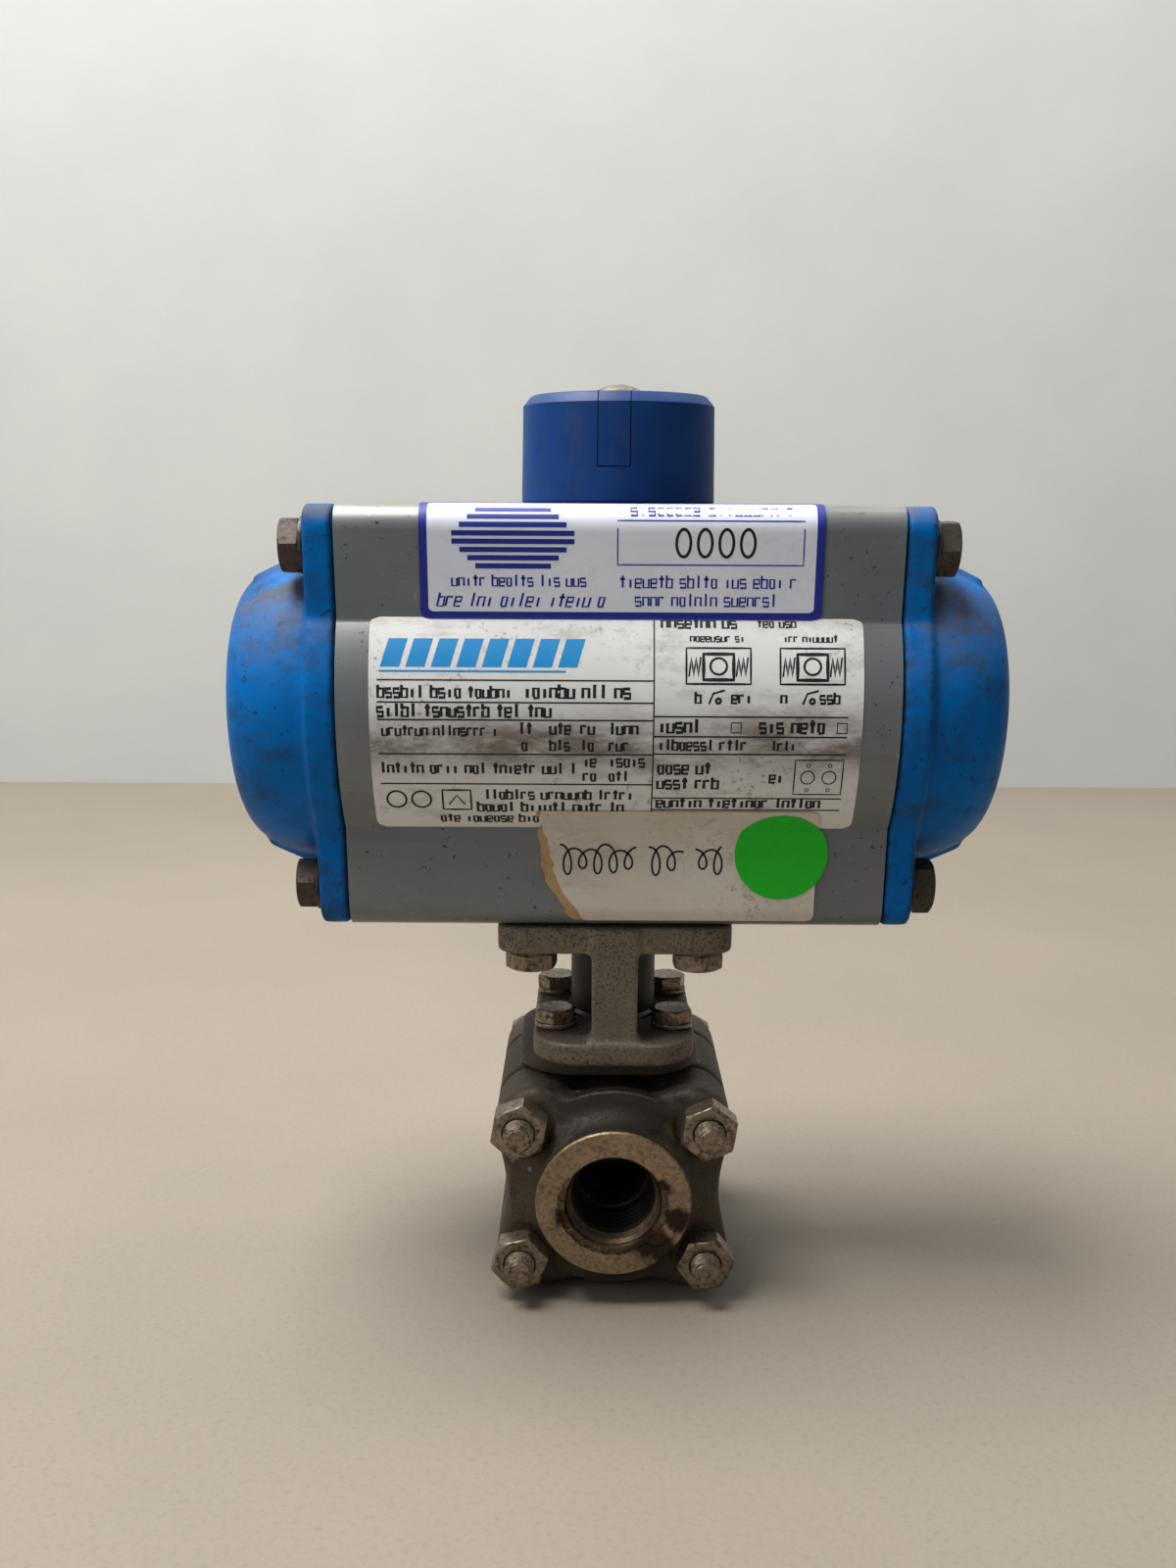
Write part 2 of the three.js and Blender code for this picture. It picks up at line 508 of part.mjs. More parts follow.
function makeActuatorBody() {
  const end = BODY_HALF_LENGTH;
  const barrel = prism(housingOutline(), 'x', -end, end);
  const airPad = block(
    [-AIR_PAD.halfX, AIR_PAD.halfX], [AIR_PAD.root, AIR_PAD.face],
    [BODY_AXIS_Z - AIR_PAD.halfZ, BODY_AXIS_Z + AIR_PAD.halfZ]);
  const cylinder = round(CYLINDER_R, 'x', -end - 1, end + 1, LARGE, onAxis);
  const sealGrooves = SIDES.map((side) => ring(
    SEAL.innerR - 0.1, SEAL.outerR + 0.1, 'x',
    side > 0 ? end - SEAL.depth : -end - 1, side > 0 ? end + 1 : -end + SEAL.depth, LARGE, onAxis));
  const capBoltHoles = SIDES.flatMap((side) => capBoltPlaces.map(({ at }) => (
    side > 0
      ? round(CAP_BOLT.holeR, 'x', CAP_BOLT.inner - 1, end + 1, SMALL, at)
      : round(CAP_BOLT.holeR, 'x', -end - 1, 1 - CAP_BOLT.inner, SMALL, at))));
  const shaftHoles = [
    round(LOWER_SHAFT_HOLE_R, 'z', BODY_BOTTOM - 1, BODY_AXIS_Z, MIDDLE),
    round(UPPER_SHAFT_HOLE_R, 'z', BODY_AXIS_Z, BODY_TOP + 1, MIDDLE),
    round(TOP_RECESS.r, 'z', BODY_TOP - TOP_RECESS.depth, BODY_TOP + 1, MIDDLE),
  ];
  const bracketHoles = bracketBoltPlaces.map(({ at }) => (
    round(BRACKET_BOLT.holeR, 'z', BODY_BOTTOM - 1, BRACKET_BOLT.holeEnd, SMALL, at)));
  const topHoles = fourCorners(TOP_HOLE.x, TOP_HOLE.y, ['left', 'right'], ['front', 'rear'])
    .map(({ at }) => (
      round(TOP_HOLE.r, 'z', BODY_TOP - TOP_HOLE.depth, BODY_TOP + 1, SMALL - 2, at)));
  const ports = SIDES.flatMap((side) => [
    round(
      AIR_PAD.portR, 'y', AIR_PAD.face - AIR_PAD.portDepth, AIR_PAD.face + 1, MIDDLE / 2,
      [side * AIR_PAD.portX, BODY_AXIS_Z]),
    round(
      AIR_PAD.ductR, 'y', AIR_PAD.root, AIR_PAD.face, SMALL - 2,
      [side * AIR_PAD.portX, BODY_AXIS_Z]),
  ]);
  const padHoles = fourCorners(AIR_PAD.holeX, AIR_PAD.holeZ, ['left', 'right'], ['lower', 'upper'])
    .map(({ at: [x, z] }) => round(
      AIR_PAD.holeR, 'y', AIR_PAD.face - AIR_PAD.holeDepth, AIR_PAD.face + 1, SMALL - 2,
      [x, BODY_AXIS_Z + z]));
  return cut(
    join(barrel, airPad), cylinder, ...sealGrooves, ...capBoltHoles, ...shaftHoles,
    ...bracketHoles, ...topHoles, ...ports, ...padHoles);
}

/** Domed end cap with a flange and a gusset above and below; side is -1 left, +1 right. */
function makeEndCap(side) {
  const { inner, outer } = CAP_FLANGE;
  const flange = prism(
    housingOutline(), 'x', Math.min(side * inner, side * outer), Math.max(side * inner, side * outer));
  const along = (profile) => profile.map(([r, x]) => [r, side * x]);
  const dome = turned(along([
    [0, inner + 1], [31.8, inner + 1], [31.8, outer], [31.2, 65], [30.3, 69], [28.2, 73.5],
    [26, 76], [22.5, 78], [14, DOME_END], [0, DOME_END],
  ]), 'x', LARGE, onAxis);
  const gussets = SIDES.map((up) => {
    const profile = [
      [side * (outer - 2), GUSSET.root], [side * (outer - 2), GUSSET.crest],
      [side * outer, GUSSET.crest], [side * GUSSET.tipX, GUSSET.tip],
      [side * GUSSET.tipX, GUSSET.root],
    ].map(([x, z]) => [x, BODY_AXIS_Z + up * z]);
    return prism(profile, 'y', -GUSSET.halfY, GUSSET.halfY);
  });
  const pocket = turned(along([
    [0, inner - 1], [27.6, inner - 1], [27.6, 67], [24.4, 73.6], [21.5, DOME_END - DOME_WALL],
    [0, DOME_END - DOME_WALL],
  ]), 'x', MIDDLE, onAxis);
  const holes = capBoltPlaces.map(({ at }) => round(
    CAP_BOLT.holeR, 'x', side > 0 ? inner - 1 : -outer - 1, side > 0 ? outer + 1 : 1 - inner,
    SMALL, at));
  return cut(join(flange, dome, ...gussets), pocket, ...holes);
}

function makeCapBolt(side, at, turn) {
  const seat = CAP_FLANGE.outer + SMALL_FIT;
  const span = (from, to) => (side > 0 ? [from, to] : [-to, -from]);
  const washer = round(CAP_BOLT.washerR, 'x', ...span(seat, seat + 1), SMALL, at);
  const head = hexagon(CAP_BOLT.af, 'x', ...span(seat + 0.9, CAP_BOLT.outer), at, turn);
  return join(washer, head, round(CAP_BOLT.r, 'x', ...span(CAP_BOLT.inner, seat + 2), SMALL, at));
}

function addHousing() {
  place('actuator_body', makeActuatorBody(), MATERIALS.greyPaint);
  for (const [side, label] of [[-1, 'left'], [1, 'right']]) {
    place(`${label}_end_cap`, makeEndCap(side), MATERIALS.bluePaint);
    const seal = [BODY_HALF_LENGTH - SEAL.depth + 0.2, BODY_HALF_LENGTH + 0.15];
    place(
      `${label}_cap_seal`,
      ring(
        SEAL.innerR + 0.15, SEAL.outerR - 0.15, 'x',
        Math.min(side * seal[0], side * seal[1]), Math.max(side * seal[0], side * seal[1]),
        MIDDLE, onAxis),
      MATERIALS.rubber);
    capBoltPlaces.forEach(({ name, at }, i) => {
      const turn = CAP_BOLT_TURNS[i] * side;
      place(`${label}_cap_bolt_${name}`, makeCapBolt(side, at, turn), MATERIALS.boltSteel);
    });
  }
}

// ---------------------------------------------------------------- actuator drive

/** Involute outline of the pinion, with a tooth centred on each multiple of its angular pitch. */
function pinionOutline() {
  const baseR = PITCH_R * Math.cos(PRESSURE);
  const rootR = PITCH_R - 1.25 * MODULE;
  const tipR = PITCH_R + 0.9 * MODULE;
  const involute = (angle) => Math.tan(angle) - angle;
  const halfAngleAt = (r) => (
    Math.PI / (2 * TEETH) - TOOTH_THINNING / PITCH_R
    + involute(PRESSURE) - involute(Math.acos(Math.min(1, baseR / r))));
  const flankRadii = [baseR, PITCH_R, tipR];
  const points = [];
  for (let tooth = 0; tooth < TEETH; tooth += 1) {
    const centre = (2 * Math.PI * tooth) / TEETH;
    const rising = [[rootR, halfAngleAt(baseR)], ...flankRadii.map((r) => [r, halfAngleAt(r)])];
    const falling = rising.map(([r, a]) => [r, -a]).reverse();
    const flanks = [...rising.map(([r, a]) => [r, -a]), ...falling.map(([r, a]) => [r, -a])];
    flanks.forEach(([r, a]) => {
      points.push([r * Math.cos(centre + a), r * Math.sin(centre + a)]);
    });
  }
  return points;
}

/** Pinion cut on its shaft, with a square socket below and two flats at the top. */
function makePinionShaft() {
  const gear = prism(
    pinionOutline(), 'z', BODY_AXIS_Z - GEAR_HALF_Z, BODY_AXIS_Z + GEAR_HALF_Z);
  const shaft = turned([
    [0, SHAFT.bottom], [SHAFT.bottomR, SHAFT.bottom], [SHAFT.bottomR, SHAFT.waistBottom - 1],
    [SHAFT.waistR, SHAFT.waistBottom + 1], [SHAFT.waistR, SHAFT.waistTop - 1],
    [SHAFT.topR, SHAFT.waistTop + 1], [SHAFT.topR, BODY_TOP], [SHAFT.neckR, BODY_TOP],
    [SHAFT.neckR, SHAFT.top], [0, SHAFT.top],
  ], 'z', MIDDLE);
  const half = SOCKET.side / 2;
  const socket = block([-half, half], [-half, half], [SHAFT.bottom - 1, SOCKET.top]);
  const flats = SIDES.map((side) => block(
    [-10, 10], side > 0 ? [SHAFT.flat, 10] : [-10, -SHAFT.flat], [SHAFT.flatBottom, SHAFT.top + 1]));
  const screwHole = round(SCREW.r + FIT, 'z', SCREW.bottom - 2, SHAFT.top + 1, SMALL);
  return cut(join(gear, shaft), socket, ...flats, screwHole);
}

/** Teeth of one rack, as a block with straight-flanked notches, before it is mirrored. */
function rackOutline() {
  const tip = PITCH_R - 0.9 * MODULE;
  const root = PITCH_R + 1.2 * MODULE;
  const slope = Math.tan(PRESSURE);
  const halfGap = (y) => RACK_PITCH / 4 + TOOTH_THINNING - (y - PITCH_R) * slope;
  const points = [[PISTON.inner + 1, ARM.back], [PISTON.armEnd, ARM.back], [PISTON.armEnd, tip]];
  for (let i = -5; i <= 1; i += 1) {
    const x = i * RACK_PITCH;
    points.push(
      [x - halfGap(tip), tip], [x - halfGap(root), root],
      [x + halfGap(root), root], [x + halfGap(tip), tip]);
  }
  points.push([9.5, tip], [9.5, root + 2], [PISTON.inner + 1, root + 2]);
  return points.filter(([x]) => x >= PISTON.armEnd);
}

/** Piston with its rack. The right one's rack runs in front of the pinion, the left one's behind. */
function makePiston(side) {
  const along = (profile) => profile.map(([r, x]) => [r, side * x]);
  const disc = turned(along([
    [0, PISTON.inner], [PISTON.r, PISTON.inner], [PISTON.r, RING.inner],
    [RING.depthR, RING.inner], [RING.depthR, RING.outer], [PISTON.r, RING.outer],
    [PISTON.r, PISTON.outer], [PISTON.pocketR, PISTON.outer], [PISTON.pocketR, PISTON.pocketFloor],
    [0, PISTON.pocketFloor],
  ]), 'x', LARGE, onAxis);
  const turnedHalfway = rackOutline().map(([x, y]) => [side * x, -side * y]);
  const rack = prism(turnedHalfway, 'z', BODY_AXIS_Z - ARM.halfZ, BODY_AXIS_Z + ARM.halfZ);
  return join(disc, rack);
}

function makeIndicatorShell() {
  const { bottom, top, baseR, topR, chamfer } = INDICATOR;
  return turned([
    [0, bottom], [baseR, bottom], [topR, top - chamfer], [topR - chamfer, top], [0, top],
  ], 'z', LARGE);
}

function insertBlock(side, slack) {
  const half = INSERT.width / 2 + slack;
  const inner = INDICATOR.topR - INSERT.depth - slack;
  return block(
    [-half, half], side < 0 ? [-30, -inner] : [inner, 30], [INSERT.bottom - slack, 200]);
}

/** Hollow indicator cap, keyed to the shaft's flats, with a pocket for each insert. */
function makeIndicatorCap() {
  const { bottom, top, topR, wall } = INDICATOR;
  const floor = top - HUB_UNDER_CAP.roof;
  const hollow = round(topR - INSERT.depth - wall, 'z', bottom - 1, floor, MIDDLE);
  const hub = round(HUB_UNDER_CAP.r, 'z', HUB_UNDER_CAP.bottom, floor + 1, MIDDLE);
  const shaftBore = round(SHAFT.neckR + FIT, 'z', bottom - 1, floor, MIDDLE);
  const keys = SIDES.map((side) => block(
    [-8, 8], side > 0 ? [HUB_UNDER_CAP.key, 9] : [-9, -HUB_UNDER_CAP.key],
    [HUB_UNDER_CAP.bottom, floor + 1]));
  const shell = cut(makeIndicatorShell(), hollow);
  const hubWithBore = join(cut(hub, shaftBore), ...keys);
  const screwHole = round(SCREW.holeR, 'z', bottom - 1, top + 1, SMALL);
  const pockets = SIDES.map((side) => insertBlock(side, 0.2));
  return cut(join(shell, hubWithBore), screwHole, ...pockets);
}

function makeIndicatorScrew() {
  const seat = INDICATOR.top + SMALL_FIT;
  return turned([
    [0, SCREW.bottom], [SCREW.r, SCREW.bottom], [SCREW.r, seat], [SCREW.headR, seat],
    [SCREW.headR, seat + 0.5], [SCREW.rimR, SCREW.top - 0.9], [SCREW.crownR, SCREW.top],
    [0, SCREW.top],
  ], 'z', MIDDLE / 2);
}

function addDrive() {
  place('pinion_shaft', makePinionShaft(), MATERIALS.machinedSteel);
  const bearing = (shaftR, { outerR, bottom, top }) => (
    ring(shaftR + FIT, outerR, 'z', bottom, top, MIDDLE));
  place('lower_bearing', bearing(SHAFT.bottomR, LOWER_BEARING), MATERIALS.whitePolymer);
  place('upper_bearing', bearing(SHAFT.topR, UPPER_BEARING), MATERIALS.whitePolymer);
  const circlip = ring(
    SHAFT.neckR + CIRCLIP.slack, CIRCLIP.outerR, 'z', BODY_TOP + SMALL_FIT, BODY_TOP + CIRCLIP.top,
    MIDDLE);
  place('circlip', circlip, MATERIALS.springSteel);
  for (const [side, label] of [[-1, 'left'], [1, 'right']]) {
    const span = (from, to) => (side > 0 ? [from, to] : [-to, -from]);
    place(`${label}_piston`, makePiston(side), MATERIALS.aluminium);
    place(
      `${label}_piston_ring`,
      ring(
        RING.depthR + RING.slack, PISTON.r + RING.proud, 'x',
        ...span(RING.inner + RING.slack, RING.outer - RING.slack), LARGE, onAxis),
      MATERIALS.rubber);
    place(
      `${label}_spring`,
      ring(SPRING.innerR, SPRING.outerR, 'x', ...span(SPRING.inner, SPRING.outer), MIDDLE, onAxis),
      MATERIALS.springSteel);
  }
  place('indicator_cap', makeIndicatorCap(), MATERIALS.bluePlastic, INSERT.turn);
  const insertBody = (side) => makeIndicatorShell().intersect(insertBlock(side, 0));
  place('indicator_insert_front', insertBody(-1), MATERIALS.bluePlastic, INSERT.turn);
  place('indicator_insert_rear', insertBody(1), MATERIALS.bluePlastic, INSERT.turn);
  place('indicator_screw', makeIndicatorScrew(), MATERIALS.boltSteel);
}

addValve();
addBracket();
addHousing();
addDrive();

export default assembly;
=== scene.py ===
"""Looks of a quarter-turn ball valve with a spring-return air actuator.

Lengths in this script are millimetres unless a name says otherwise, in the frame of the CAD model:
X along the actuator, Y along the pipe, Z up. They are scaled to metres where meshes are made.
"""
import json
import math
import random

import bmesh
import bpy
import numpy as np
from mathutils import Matrix, Vector


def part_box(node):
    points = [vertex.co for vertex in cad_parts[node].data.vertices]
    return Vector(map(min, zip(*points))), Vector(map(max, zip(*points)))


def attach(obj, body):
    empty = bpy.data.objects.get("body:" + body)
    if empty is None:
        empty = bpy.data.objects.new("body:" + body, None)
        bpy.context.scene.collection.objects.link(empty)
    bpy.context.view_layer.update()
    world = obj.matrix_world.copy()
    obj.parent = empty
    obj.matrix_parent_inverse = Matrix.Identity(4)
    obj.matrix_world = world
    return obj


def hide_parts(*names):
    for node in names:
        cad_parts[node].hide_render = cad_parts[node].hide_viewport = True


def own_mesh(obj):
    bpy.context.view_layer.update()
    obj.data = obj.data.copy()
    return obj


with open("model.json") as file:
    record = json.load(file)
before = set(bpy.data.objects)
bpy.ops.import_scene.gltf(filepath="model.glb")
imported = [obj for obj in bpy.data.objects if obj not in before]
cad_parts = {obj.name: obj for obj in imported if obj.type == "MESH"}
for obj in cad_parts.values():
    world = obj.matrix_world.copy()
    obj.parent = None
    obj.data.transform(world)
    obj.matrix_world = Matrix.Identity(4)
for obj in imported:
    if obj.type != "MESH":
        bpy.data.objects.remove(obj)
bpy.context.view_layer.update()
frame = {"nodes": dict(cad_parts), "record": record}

MM = 0.001
NODES = frame["nodes"]


def box_mm(node):
    low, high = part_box(node)
    return [c / MM for c in low], [c / MM for c in high]


def centre_mm(node):
    low, high = box_mm(node)
    return [(a + b) / 2 for a, b in zip(low, high)]


def mount_mm(name):
    mount = next(m for m in frame["record"]["mounts"] if m["name"] == name)
    return [c / MM for c in mount["pos_m"]]


def four_nodes(kind, *rows):
    """Names of four like nodes, left ones first."""
    return [f"{kind}_{side}_{row}" for side in ("left", "right") for row in rows]


# ---- sizes from the frame

BODY_LOW, BODY_HIGH = box_mm("actuator_body")
HALF_LENGTH = BODY_HIGH[0]
BODY_TOP = BODY_HIGH[2]
BODY_BOTTOM = BODY_LOW[2]
AXIS_Z = (BODY_TOP + BODY_BOTTOM) / 2
BULGE_R = -BODY_LOW[1]
LOBE_Y = 26.1
LOBE_CORNER = 5.0
CREASE_Z = math.sqrt(BULGE_R ** 2 - LOBE_Y ** 2)
HALF_HEIGHT = (BODY_TOP - BODY_BOTTOM) / 2
PAD_FACE_Y = BODY_HIGH[1]

FRONT_LOW, FRONT_HIGH = box_mm("front_end_connection")
FLANGE_HALF_X = FRONT_HIGH[0]
FLANGE_TOP = FRONT_HIGH[2]
SEAM_Y = -FRONT_HIGH[1]
PORT_FACE_Y = -FRONT_LOW[1]
FLANGE_FACE_Y = 28.5
PORT_Z = mount_mm("front_port_face")[2]
HUB_R = 16.6
BOLT_BORE_R = 3.45

# Where heads and washers bear: distance from the middle along X, height, height, distance along Y.
CAP_BOLT_SEAT = 61.1
BRACKET_HEAD_TOP = 74.9
PAD_BOLT_SEAT = 56.75
REAR_HEAD_SEAT = 28.7

AIR_PORT_R = 5.9
TAPPED_R = 2.1

# Clearance under the turning indicator cap.
RECESS_R = 20.4
RECESS_DEPTH = 0.6


# ---- mesh helpers

def arc(cx, cy, r, start, end, steps):
    """Points on an arc, angles in degrees."""
    angles = [math.radians(start + (end - start) * i / steps) for i in range(steps + 1)]
    return [(cx + r * math.cos(a), cy + r * math.sin(a)) for a in angles]


def place_axes(axis, u, v, w):
    """A point whose third coordinate w lies on the axis; u and v are the other two, in X, Y, Z order."""
    return {"x": (w, u, v), "y": (u, w, v), "z": (u, v, w)}[axis]


def spun(axis, centre, r, a, w):
    """The point at distance w along an axis through a centre, turned to angle a at radius r."""
    u, v = centre
    return place_axes(axis, u + r * math.cos(a), v + r * math.sin(a), w)


def around(steps):
    return [2 * math.pi * i / steps for i in range(steps)]


def loft(loops, closed=False):
    """Skin through loops of equal length, with its ends capped, or joined to each other when closed."""
    n = len(loops[0])
    verts = [p for loop in loops for p in loop]
    faces = [] if closed else [tuple(range(n)), tuple(range(len(verts) - n, len(verts)))]
    for k in range(len(loops) if closed else len(loops) - 1):
        m = (k + 1) % len(loops)
        for i in range(n):
            j = (i + 1) % n
            faces.append((k * n + i, k * n + j, m * n + j, m * n + i))
    return verts, faces


def prism(outline, axis, low, high):
    return loft([[place_axes(axis, u, v, w) for u, v in outline] for w in (low, high)])


def lathe(profile, axis, centre=(0, 0), steps=96):
    """Turns a profile of (radius, distance) that starts and ends on the axis."""
    return loft([[spun(axis, centre, max(r, 1e-4), a, w) for a in around(steps)] for r, w in profile])


def tube(profile, axis, centre=(0, 0), steps=96):
    """Turns a closed profile that stays off the axis."""
    return loft([[spun(axis, centre, r, a, w) for r, w in profile] for a in around(steps)], True)


def bar(r, axis, low, high, centre=(0, 0), steps=48):
    return lathe([(0, low), (r, low), (r, high), (0, high)], axis, centre, steps)


def block(x, y, z):
    return prism([(x[0], y[0]), (x[1], y[0]), (x[1], y[1]), (x[0], y[1])], "z", z[0], z[1])


def make(name, *parts):
    """One object from closed parts given in millimetres."""
    verts = []
    faces = []
    for part_verts, part_faces in parts:
        start = len(verts)
        verts += [tuple(c * MM for c in v) for v in part_verts]
        faces += [tuple(start + i for i in f) for f in part_faces]
    mesh = bpy.data.meshes.new(name)
    mesh.from_pydata(verts, [], faces)
    shape = bmesh.new()
    shape.from_mesh(mesh)
    bmesh.ops.remove_doubles(shape, verts=shape.verts, dist=2e-7)
    bmesh.ops.recalc_face_normals(shape, faces=shape.faces)
    shape.to_mesh(mesh)
    shape.free()
    piece = bpy.data.objects.new(name, mesh)
    bpy.context.scene.collection.objects.link(piece)
    return piece


def bake_modifiers(piece):
    graph = bpy.context.evaluated_depsgraph_get()
    mesh = bpy.data.meshes.new_from_object(piece.evaluated_get(graph))
    piece.modifiers.clear()
    piece.data = mesh


def join(piece, other, operation):
    """Applies a boolean with another piece, which is then gone."""
    modifier = piece.modifiers.new("join", "BOOLEAN")
    modifier.operation = operation
    modifier.solver = "EXACT"
    modifier.object = other
    bake_modifiers(piece)
    bpy.data.objects.remove(other)


def combine(piece, operation, *parts):
    """Cuts parts out of a piece, or keeps what it shares with them."""
    for part in parts:
        join(piece, make("tool", part), operation)


def carve(piece, *parts):
    combine(piece, "DIFFERENCE", *parts)


def cast(piece, voxel, passes):
    """Fuses a piece's parts and rounds its edges and corners, as a casting's are."""
    remesh = piece.modifiers.new("fuse", "REMESH")
    remesh.mode = "VOXEL"
    remesh.voxel_size = voxel * MM
    remesh.adaptivity = 0
    bake_modifiers(piece)
    smooth = piece.modifiers.new("soften", "SMOOTH")
    smooth.factor = 0.5
    smooth.iterations = passes
    bake_modifiers(piece)


def bevel(piece, width, segments=2, angle=32):
    modifier = piece.modifiers.new("bevel", "BEVEL")
    modifier.width = width * MM
    modifier.segments = segments
    modifier.limit_method = "ANGLE"
    modifier.angle_limit = math.radians(angle)
    bake_modifiers(piece)


def dress(piece, look, body, slot, *nodes, angle=34):
    """Shades a piece, gives it its material and body, and lets it stand for CAD nodes."""
    piece.data.materials.clear()
    piece.data.materials.append(look)
    piece.data.shade_smooth()
    piece.data.set_sharp_from_angle(angle=math.radians(angle))
    flatten = piece.modifiers.new("keep_flats_flat", "WEIGHTED_NORMAL")
    flatten.keep_sharp = True
    bake_modifiers(piece)
    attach(piece, body)
    if nodes:
        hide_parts(*nodes)


# ---- materials

def srgb(r, g, b):
    """Linear colour from 0-255 screen values."""
    shares = [c / 255 for c in (r, g, b)]
    return *(c / 12.92 if c <= 0.04045 else ((c + 0.055) / 1.055) ** 2.4 for c in shares), 1.0


class Look:
    """Builds one procedural material in object space; noise scales are per metre, colours 0-255.

    A pattern is an output socket, or a tuple of the arguments of noise().
    """

    def __init__(self, name, dark, light, cloud, low=0.3, high=0.7, strength=1.0):
        """Starts from two colours, mixed where the cloud pattern runs from low to high."""
        self.material = bpy.data.materials.new(name)
        self.material.use_nodes = True
        self.nodes = self.material.node_tree.nodes
        self.links = self.material.node_tree.links
        self.shader = self.nodes["Principled BSDF"]
        self.place = self.nodes.new("ShaderNodeTexCoord").outputs["Object"]
        self.geometry = self.nodes.new("ShaderNodeNewGeometry")
        self.normal = None
        self.cloud = self.noise(*cloud)
        self.colour = self.mix(self.span(self.cloud, low, high, 0, strength), srgb(*dark), srgb(*light))

    def link(self, value, socket):
        if isinstance(value, bpy.types.NodeSocket):
            self.links.new(value, socket)
        else:
            socket.default_value = value

    def pattern(self, source):
        return self.noise(*source) if isinstance(source, tuple) else source

    def math(self, operation, a, b=0.0, clamp=True):
        node = self.nodes.new("ShaderNodeMath")
        node.operation = operation
        node.use_clamp = clamp
        self.link(a, node.inputs[0])
        self.link(b, node.inputs[1])
        return node.outputs[0]

    def times(self, a, b):
        return self.math("MULTIPLY", a, b)

    def near(self, point, reach):
        """1 at a point given in millimetres, falling raggedly to 0 at its reach."""
        node = self.nodes.new("ShaderNodeVectorMath")
        node.operation = "DISTANCE"
        self.link(self.place, node.inputs[0])
        node.inputs[1].default_value = Vector(point) * MM
        ragged = self.span((260, 5, 0.7, 17.0), 0.3, 0.7, -0.35 * reach * MM, 0.35 * reach * MM)
        far = self.math("ADD", node.outputs["Value"], ragged, False)
        return self.span(far, reach * MM, 0.6 * reach * MM)

    def noise(self, scale, detail=5.0, rough=0.6, offset=0.0, stretch=(1, 1, 1)):
        place = self.nodes.new("ShaderNodeVectorMath")
        place.operation = "MULTIPLY"
        self.link(self.place, place.inputs[0])
        place.inputs[1].default_value = stretch
        node = self.nodes.new("ShaderNodeTexNoise")
        node.noise_dimensions = "4D"
        for name, value in (("W", offset), ("Scale", scale), ("Detail", detail), ("Roughness", rough)):
            node.inputs[name].default_value = value
        self.link(place.outputs[0], node.inputs["Vector"])
        return node.outputs[0]

    def pits(self, scale):
        """1 on the surface, falling to 0 in scattered round pits."""
        node = self.nodes.new("ShaderNodeTexVoronoi")
        node.inputs["Scale"].default_value = scale
        self.link(self.place, node.inputs["Vector"])
        return self.span(node.outputs["Distance"], 0.08, 0.32)

    def span(self, pattern, low, high, out_low=0.0, out_high=1.0):
        """A pattern rescaled so that low and high become out_low and out_high."""
        node = self.nodes.new("ShaderNodeMapRange")
        self.link(self.pattern(pattern), node.inputs["Value"])
        for name, value in (("From Min", low), ("From Max", high), ("To Min", out_low), ("To Max", out_high)):
            node.inputs[name].default_value = value
        return node.outputs[0]

    def mix(self, factor, a, b):
        node = self.nodes.new("ShaderNodeMix")
        node.data_type = "RGBA"
        for value, place in ((factor, 0), (a, 6), (b, 7)):
            self.link(value, node.inputs[place])
        return node.outputs[2]

    def tint(self, mask, colour, strength):
        """Lays a colour over what is there, as far as the mask says."""
        self.colour = self.mix(self.times(mask, strength), self.colour, srgb(*colour))

    def coat(self, colour, pattern, low, high, strength):
        """Lays a colour over what is there, where a pattern runs from low to high."""
        self.tint(self.span(pattern, low, high), colour, strength)

    def axis_value(self, source, axis):
        node = self.nodes.new("ShaderNodeSeparateXYZ")
        self.link(source, node.inputs[0])
        return node.outputs["XYZ".index(axis)]

    def facing_up(self, low=0.3, high=0.95):
        return self.span(self.axis_value(self.geometry.outputs["Normal"], "Z"), low, high)

    def edges(self, low=0.52, high=0.6):
        """High along raised edges of a fine mesh."""
        return self.span(self.geometry.outputs["Pointiness"], low, high)

    def hollows(self, low=0.40, high=0.485):
        """High inside grooves and corners of a fine mesh."""
        return self.span(self.geometry.outputs["Pointiness"], low, high, 1.0, 0.0)

    def bump(self, pattern, strength, distance):
        """Adds relief of a distance in millimetres to what is there."""
        node = self.nodes.new("ShaderNodeBump")
        node.inputs["Strength"].default_value = strength
        node.inputs["Distance"].default_value = distance * MM
        self.link(self.pattern(pattern), node.inputs["Height"])
        if self.normal:
            self.link(self.normal, node.inputs["Normal"])
        self.normal = node.outputs[0]

    def finish(self, roughness, metallic=0.0, specular=0.5):
        self.link(self.colour, self.shader.inputs["Base Color"])
        self.link(roughness, self.shader.inputs["Roughness"])
        self.shader.inputs["Metallic"].default_value = metallic
        self.shader.inputs["Specular IOR Level"].default_value = specular
        if self.normal:
            self.link(self.normal, self.shader.inputs["Normal"])
        return self.material


GRIME = (38, 32, 26)


